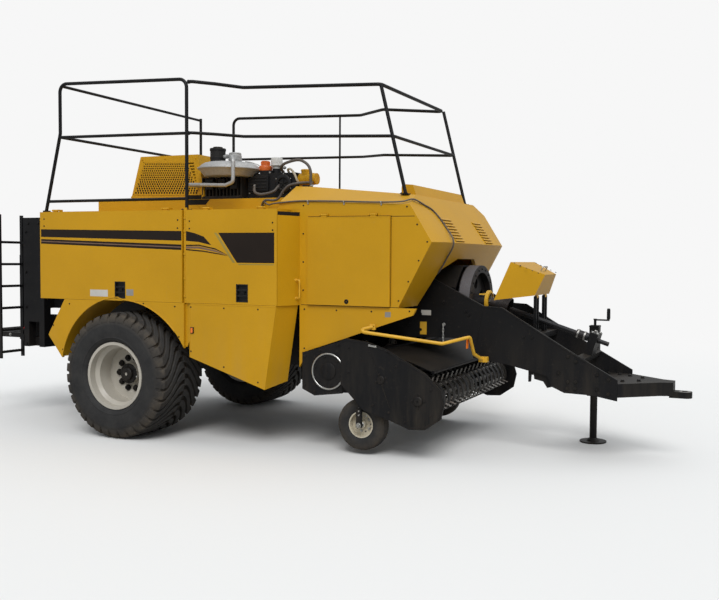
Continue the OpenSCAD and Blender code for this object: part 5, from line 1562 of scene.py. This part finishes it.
def chain(mesh, start, links, pitch, wire):
    """Straight hanging links, each turned a quarter from the last."""
    down = Vector((0, 0, -1))
    for i in range(links):
        place = placed(Vector(start) + down * (i * pitch), down, (1, 0, 0) if i % 2 else (0, 1, 0))
        half = pitch * 0.5 + wire
        wide = wire * 1.75
        loop = []
        for k in range(20):
            a = 2 * math.pi * k / 20
            x = wide * math.cos(a)
            z = (half - wide) * (1 if math.sin(a) >= 0 else -1) + wide * math.sin(a)
            loop.append(place @ Vector((x, 0, z)))
        rings = []
        for k, p in enumerate(loop):
            d = (loop[(k + 1) % 20] - loop[k - 1]).normalized()
            up = place.to_3x3() @ Vector((0, 1, 0))
            side = d.cross(up)
            rings.append([p + wire * (up * math.cos(math.pi * j / 4) + side * math.sin(math.pi * j / 4))
                          for j in range(8)])
        mesh.loft(rings, closed=True)


def hanging_chains():
    """A chain on each side of the tongue, hung from its own bolt."""
    mesh = Mesh()
    for side in SIDES:
        mesh.bolts([(3.30, 1.262)], side * TONGUE_Y, 0.022, 0.024)
        chain(mesh, (3.30, side * 0.470, 1.235), 6, 0.030, 0.0038)
    mesh.make("safety_chains", "root", ZINC)


tongue_trim()
drive_trim()
cover_trim()
hitch_trim()
hanging_chains()


# The pickup: coils at the tines, plate edges, latch, round cover, bearings and gauge arms.

PICKUP_Y = 1.183
REEL_X = 3.33
REEL_Z = 0.585
AUGER_X = 2.945
AUGER_Z = 0.765


def pickup_trim():
    coils = Mesh()
    # The tine bars' distance from the reel's axle, and the tines' pitch as the source has it.
    bar = 0.125
    tines = 16
    pitch = 2 * (PICKUP_Y - 0.025 - 0.072 - 0.030) / tines
    for k in range(4):
        a = math.radians(k * 90 + 20)
        # The bar's place, turned about the reel's axle as the source turns it.
        x = REEL_X + bar * math.sin(a)
        z = REEL_Z + bar * math.cos(a)
        for i in range(tines):
            y = -pitch * tines / 2 + pitch * (i + 0.5)
            profile = [(0.0135, -0.022)]
            for c in range(5):
                h = -0.020 + 0.010 * c
                profile += [(0.0175, h - 0.003), (0.019, h), (0.0175, h + 0.003)]
            profile.append((0.0135, 0.022))
            coils.lathe(profile[::-1], placed((x, y, z), (0, 1, 0)), 14)
    coils.make("tine_coils", "reel", STEEL, "bare_steel", centre=(REEL_X, 0, REEL_Z))
    for side in SIDES:
        name = SIDE_NAME[side]
        out = (0, side, 0)
        y = side * PICKUP_Y
        plate = Mesh()
        rim = [(2.520, 1.114), (2.570, 1.135), (2.794, 1.113), (2.998, 1.050), (3.186, 0.951), (3.393, 0.842),
               (3.550, 0.695), (3.584, 0.585), (3.551, 0.436), (3.396, 0.330), (3.243, 0.320)]
        for start, end in zip(rim, rim[1:]):
            plate.side(hem(start, end, 0.012), y, 0.003)
        for start, end in (((2.807, 1.095), (3.044, 0.504)), ((3.007, 1.040), (3.137, 0.963))):
            plate.side(hem(start, end, 0.008), y, 0.003)
        plate.bolts(((2.60, 1.06), (2.60, 0.82), (2.86, 0.52), (3.10, 0.90), (3.46, 0.70), (3.46, 0.46),
                     (3.20, 0.38), (3.03, 0.46)), y, 0.017, 0.009)
        ring_of(plate, (REEL_X, y, REEL_Z), out, 0.062, 4, 0.017, 0.009)
        plate.lathe([(0.006, 0.0), (0.048, 0.0), (0.048, 0.008), (0.040, 0.016), (0.006, 0.018)],
                    placed((REEL_X, y, REEL_Z), out), 36)
        ring_of(plate, (AUGER_X, y, AUGER_Z), out, 0.054, 4, 0.015, 0.008, 0.4)
        plate.lathe([(0.006, 0.0), (0.040, 0.0), (0.040, 0.006), (0.034, 0.012), (0.006, 0.013)],
                    placed((AUGER_X, y, AUGER_Z), out), 32)
        plate.make("pickup_plate_trim_" + name, "pickup", BLACK, "black_paint", bevel=0.001)
        latch_bar = Mesh()
        latch_bar.side([(2.812, 1.082), (2.900, 1.072), (2.902, 1.088), (2.814, 1.098)], y, 0.012)
        latch_bar.bolts(((2.826, 1.090), (2.888, 1.081)), y + side * 0.012, 0.014, 0.008)
        latch_bar.make("pickup_latch_" + name, "pickup", ZINC, bevel=0.001)
        cover = Mesh()
        place = placed((2.357, side * 1.150, 0.81), out)
        cover.lathe([(0.166, 0.0), (0.1815, 0.0), (0.1815, 0.006), (0.176, 0.010), (0.170, 0.010),
                     (0.166, 0.006)], place, 72)
        cover.make("drive_cover_rim_" + name, "root", ZINC)
        face = Mesh()
        face.lathe([(0.004, 0.0), (0.085, 0.0), (0.085, 0.006), (0.078, 0.010), (0.030, 0.011),
                    (0.004, 0.011)], place, 48)
        for spot in circle(0.145, 6, 0.0, math.pi / 12):
            face.bolt(place @ spot, out, 0.017, 0.009)
        face.bolts(((2.09, 0.66), (2.09, 0.95), (2.26, 1.01), (2.46, 1.07), (2.46, 0.63), (2.20, 0.60)),
                   side * 1.138, 0.019, 0.010)
        face.make("drive_cover_face_" + name, "root", BLACK, "black_paint", bevel=0.001)
        arm = Mesh()
        arm_y = side * 1.14
        arm.bolt((GAUGE_X, arm_y, GAUGE_Z), out, 0.034, 0.020)
        for z in (0.40, 0.44, 0.48):
            arm.disc(0.008, -0.001, 0.006, placed((GAUGE_X, arm_y, z), out), 16, 0.002)
        arm.make("gauge_arm_bolts_" + name, "pickup", ZINC)


pickup_trim()


# The rear: lamps, reflectors, ladder treads, bolts, density cylinders' collars and hoses.


def rear_trim():
    for side in SIDES:
        name = SIDE_NAME[side]
        # Middle of the tension frame's wall.
        y = side * 0.755
        case = Mesh()
        case.box((-1.988, y - 0.052, 0.888), (-1.9805, y + 0.052, 0.972))
        case.box((-1.992, y - 0.052, 0.888), (-1.9805, y + 0.052, 0.896))
        case.box((-1.992, y - 0.052, 0.964), (-1.9805, y + 0.052, 0.972))
        case.make("rear_lamp_case_" + name, "root", PLASTIC, "black_plastic", bevel=0.002)
        red = Mesh()
        red.box((-1.989, y - 0.045, 1.02), (-1.9802, y + 0.045, 1.06))
        red.make("rear_reflector_" + name, "root", RED, bevel=0.002)
        bolts = Mesh()
        tension_y = side * 0.80
        for z in (0.86, 1.30, 1.72, 2.20):
            bolts.bolt((-1.98, y + side * 0.02, z), (-1, 0, 0), 0.024, 0.014)
            bolts.bolt((-1.94, tension_y, z), (0, side, 0), 0.024, 0.014)
        bolts.bolts(((-1.90, 2.30), (-1.74, 2.30)), tension_y, 0.022, 0.012)
        bolts.make("tension_bolts_" + name, "root", BLACK, "black_paint")
        route = [(-1.77, 0.24, 2.12), (-1.72, 0.30, 2.08), (-1.69, 0.42, 1.99), (-1.66, 0.55, 1.95),
                 (-1.55, 0.60, 1.94), (-1.30, 0.61, 1.94), (-0.90, 0.61, 1.94)]
        hose = Mesh()
        hose.tube(smooth_route([(x, side * w, z) for x, w, z in route], 8), 0.010, 12)
        hose.make("density_hose_" + name, "root", HOSE)
        rod = Mesh()
        cylinder = Matrix.Translation((-1.82, side * 0.24, 0))
        rod.lathe([(0.0505, 2.00), (0.056, 2.002), (0.056, 2.030), (0.0505, 2.032)], cylinder, 36)
        rod.lathe([(0.028, 1.866), (0.058, 1.866), (0.058, 1.882), (0.036, 1.896), (0.028, 1.896)],
                  cylinder, 36)
        rod.make("density_collars_" + name, "root", STEEL)
        chute = Mesh()
        chute.bolts([(x, 0.94) for x in (-2.41, -2.58, -2.75, -2.92, -3.09)], side * 0.61, 0.024, 0.014)
        chute.make("roller_bolts_" + name, "chute", ZINC)
    tread = Mesh()
    for i in range(6):
        z = 0.785 + 0.26 * i
        for k in range(7):
            y = -1.035 + k * 0.042
            tread.box((-2.100, y, z - 0.001), (-2.060, y + 0.010, z + 0.004))
    tread.make("ladder_grip", "root", BLACK, "black_paint")
    ribs = Mesh()
    for side in SIDES:
        ribs.bolts([(x, z) for x in (-2.12, -1.70, -1.23, -0.27) for z in (1.05, 1.40, 1.75)],
                   side * 0.6997, 0.022, 0.012)
    ribs.make("chamber_bolts", "root", BLACK, "black_paint")
    under = Mesh()
    for side in SIDES:
        for x in (-1.4, -0.9, -0.4, 0.4, 0.9, 1.4, 1.9):
            under.bolt((x, side * 0.55, 0.78), (0, 0, -1), 0.024, 0.014)
        for x in (-0.11, 0.11):
            for y in (0.52, 0.58):
                under.bolt((x, side * y, 0.742), (0, 0, 1), 0.024, 0.014)
    under.make("frame_bolts", "root", BLACK, "black_paint")


rear_trim()


# The camera where the photograph was taken from, soft lamps, and a pale floor that fades into the ground.


def camera():
    """Solved from the main wheels, the bale's width and the machine's road width."""
    data = bpy.data.cameras.new("camera")
    data.sensor_width = 36
    data.lens = 43.82
    data.shift_x = -0.0953
    yaw = math.radians(22.185)
    pitch = math.radians(-2.628)
    roll = math.radians(0.549)
    ahead = Vector((-math.sin(yaw) * math.cos(pitch), math.cos(yaw) * math.cos(pitch), math.sin(pitch)))
    side = ahead.cross(Vector((0, 0, 1))).normalized()
    above = side.cross(ahead)
    right = side * math.cos(roll) + above * math.sin(roll)
    top = above * math.cos(roll) - side * math.sin(roll)
    cam = bpy.data.objects.new("camera", data)
    turned = Matrix((right, top, -ahead)).transposed().to_4x4()
    cam.matrix_world = Matrix.Translation((5.1959, -8.69497, 1.91338)) @ turned
    bpy.context.scene.collection.objects.link(cam)
    bpy.context.scene.camera = cam


def lamp(name, kind, energy, towards, spread, colour=(1, 1, 1)):
    data = bpy.data.lights.new(name, kind)
    data.energy = energy
    data.color = colour
    data.angle = spread
    lit = bpy.data.objects.new(name, data)
    lit.rotation_mode = "QUATERNION"
    lit.rotation_quaternion = Vector(towards).to_track_quat("-Z", "Y")
    bpy.context.scene.collection.objects.link(lit)


def surroundings():
    pale = (0.93, 0.93, 0.93, 1)
    world = bpy.data.worlds.new("studio")
    bpy.context.scene.world = world
    sky = Nodes(world)
    seen = sky.add("ShaderNodeBackground", {0: pale, 1: 1.0})
    aim = sky.add("ShaderNodeTexCoord").outputs["Generated"]
    rise = sky.add("ShaderNodeSeparateXYZ", {0: aim}).outputs["Z"]
    strength = sky.span(rise, -0.05, 0.75, 0.28, 0.70)
    light = sky.add("ShaderNodeBackground", {0: (0.94, 0.97, 1.0, 1), 1: strength})
    direct = sky.add("ShaderNodeLightPath").outputs["Is Camera Ray"]
    mix = sky.add("ShaderNodeMixShader", {0: direct, 1: light.outputs[0], 2: seen.outputs[0]})
    sky.add("ShaderNodeOutputWorld", {0: mix.outputs[0]})
    data = bpy.data.meshes.new("floor")
    reach = 300
    data.from_pydata([(-reach, -reach, 0), (reach, -reach, 0), (reach, reach, 0), (-reach, reach, 0)], [],
                     [(0, 1, 2, 3)])
    floor = bpy.data.objects.new("floor", data)
    bpy.context.scene.collection.objects.link(floor)
    material = bpy.data.materials.new("floor")
    ground = Nodes(material)
    direct = ground.add("ShaderNodeLightPath").outputs["Is Camera Ray"]
    plain = ground.add("ShaderNodeBsdfDiffuse", {0: (0.80, 0.80, 0.79, 1)})
    bounce = ground.add("ShaderNodeBsdfDiffuse", {0: (0.45, 0.44, 0.42, 1)})
    matt = ground.add("ShaderNodeMixShader", {0: direct, 1: bounce.outputs[0], 2: plain.outputs[0]})
    glow = ground.add("ShaderNodeEmission", {0: pale})
    place = ground.add("ShaderNodeNewGeometry").outputs["Position"]
    away = ground.add("ShaderNodeVectorMath", {0: place}, operation="LENGTH").outputs["Value"]
    fade = ground.span(away, 4.5, 13.0, interpolation_type="SMOOTHSTEP")
    both = ground.sum("MULTIPLY", fade, direct, False)
    mix = ground.add("ShaderNodeMixShader", {0: both, 1: matt.outputs[0], 2: glow.outputs[0]})
    ground.add("ShaderNodeOutputMaterial", {0: mix.outputs[0]})
    data.materials.append(material)



camera()
lamp("key", "SUN", 1.75, (-0.30, 0.62, -0.72), math.radians(30))
lamp("fill", "SUN", 0.45, (-0.42, -0.25, -0.87), math.radians(60))
surroundings()
bpy.context.scene.view_settings.view_transform = "Standard"
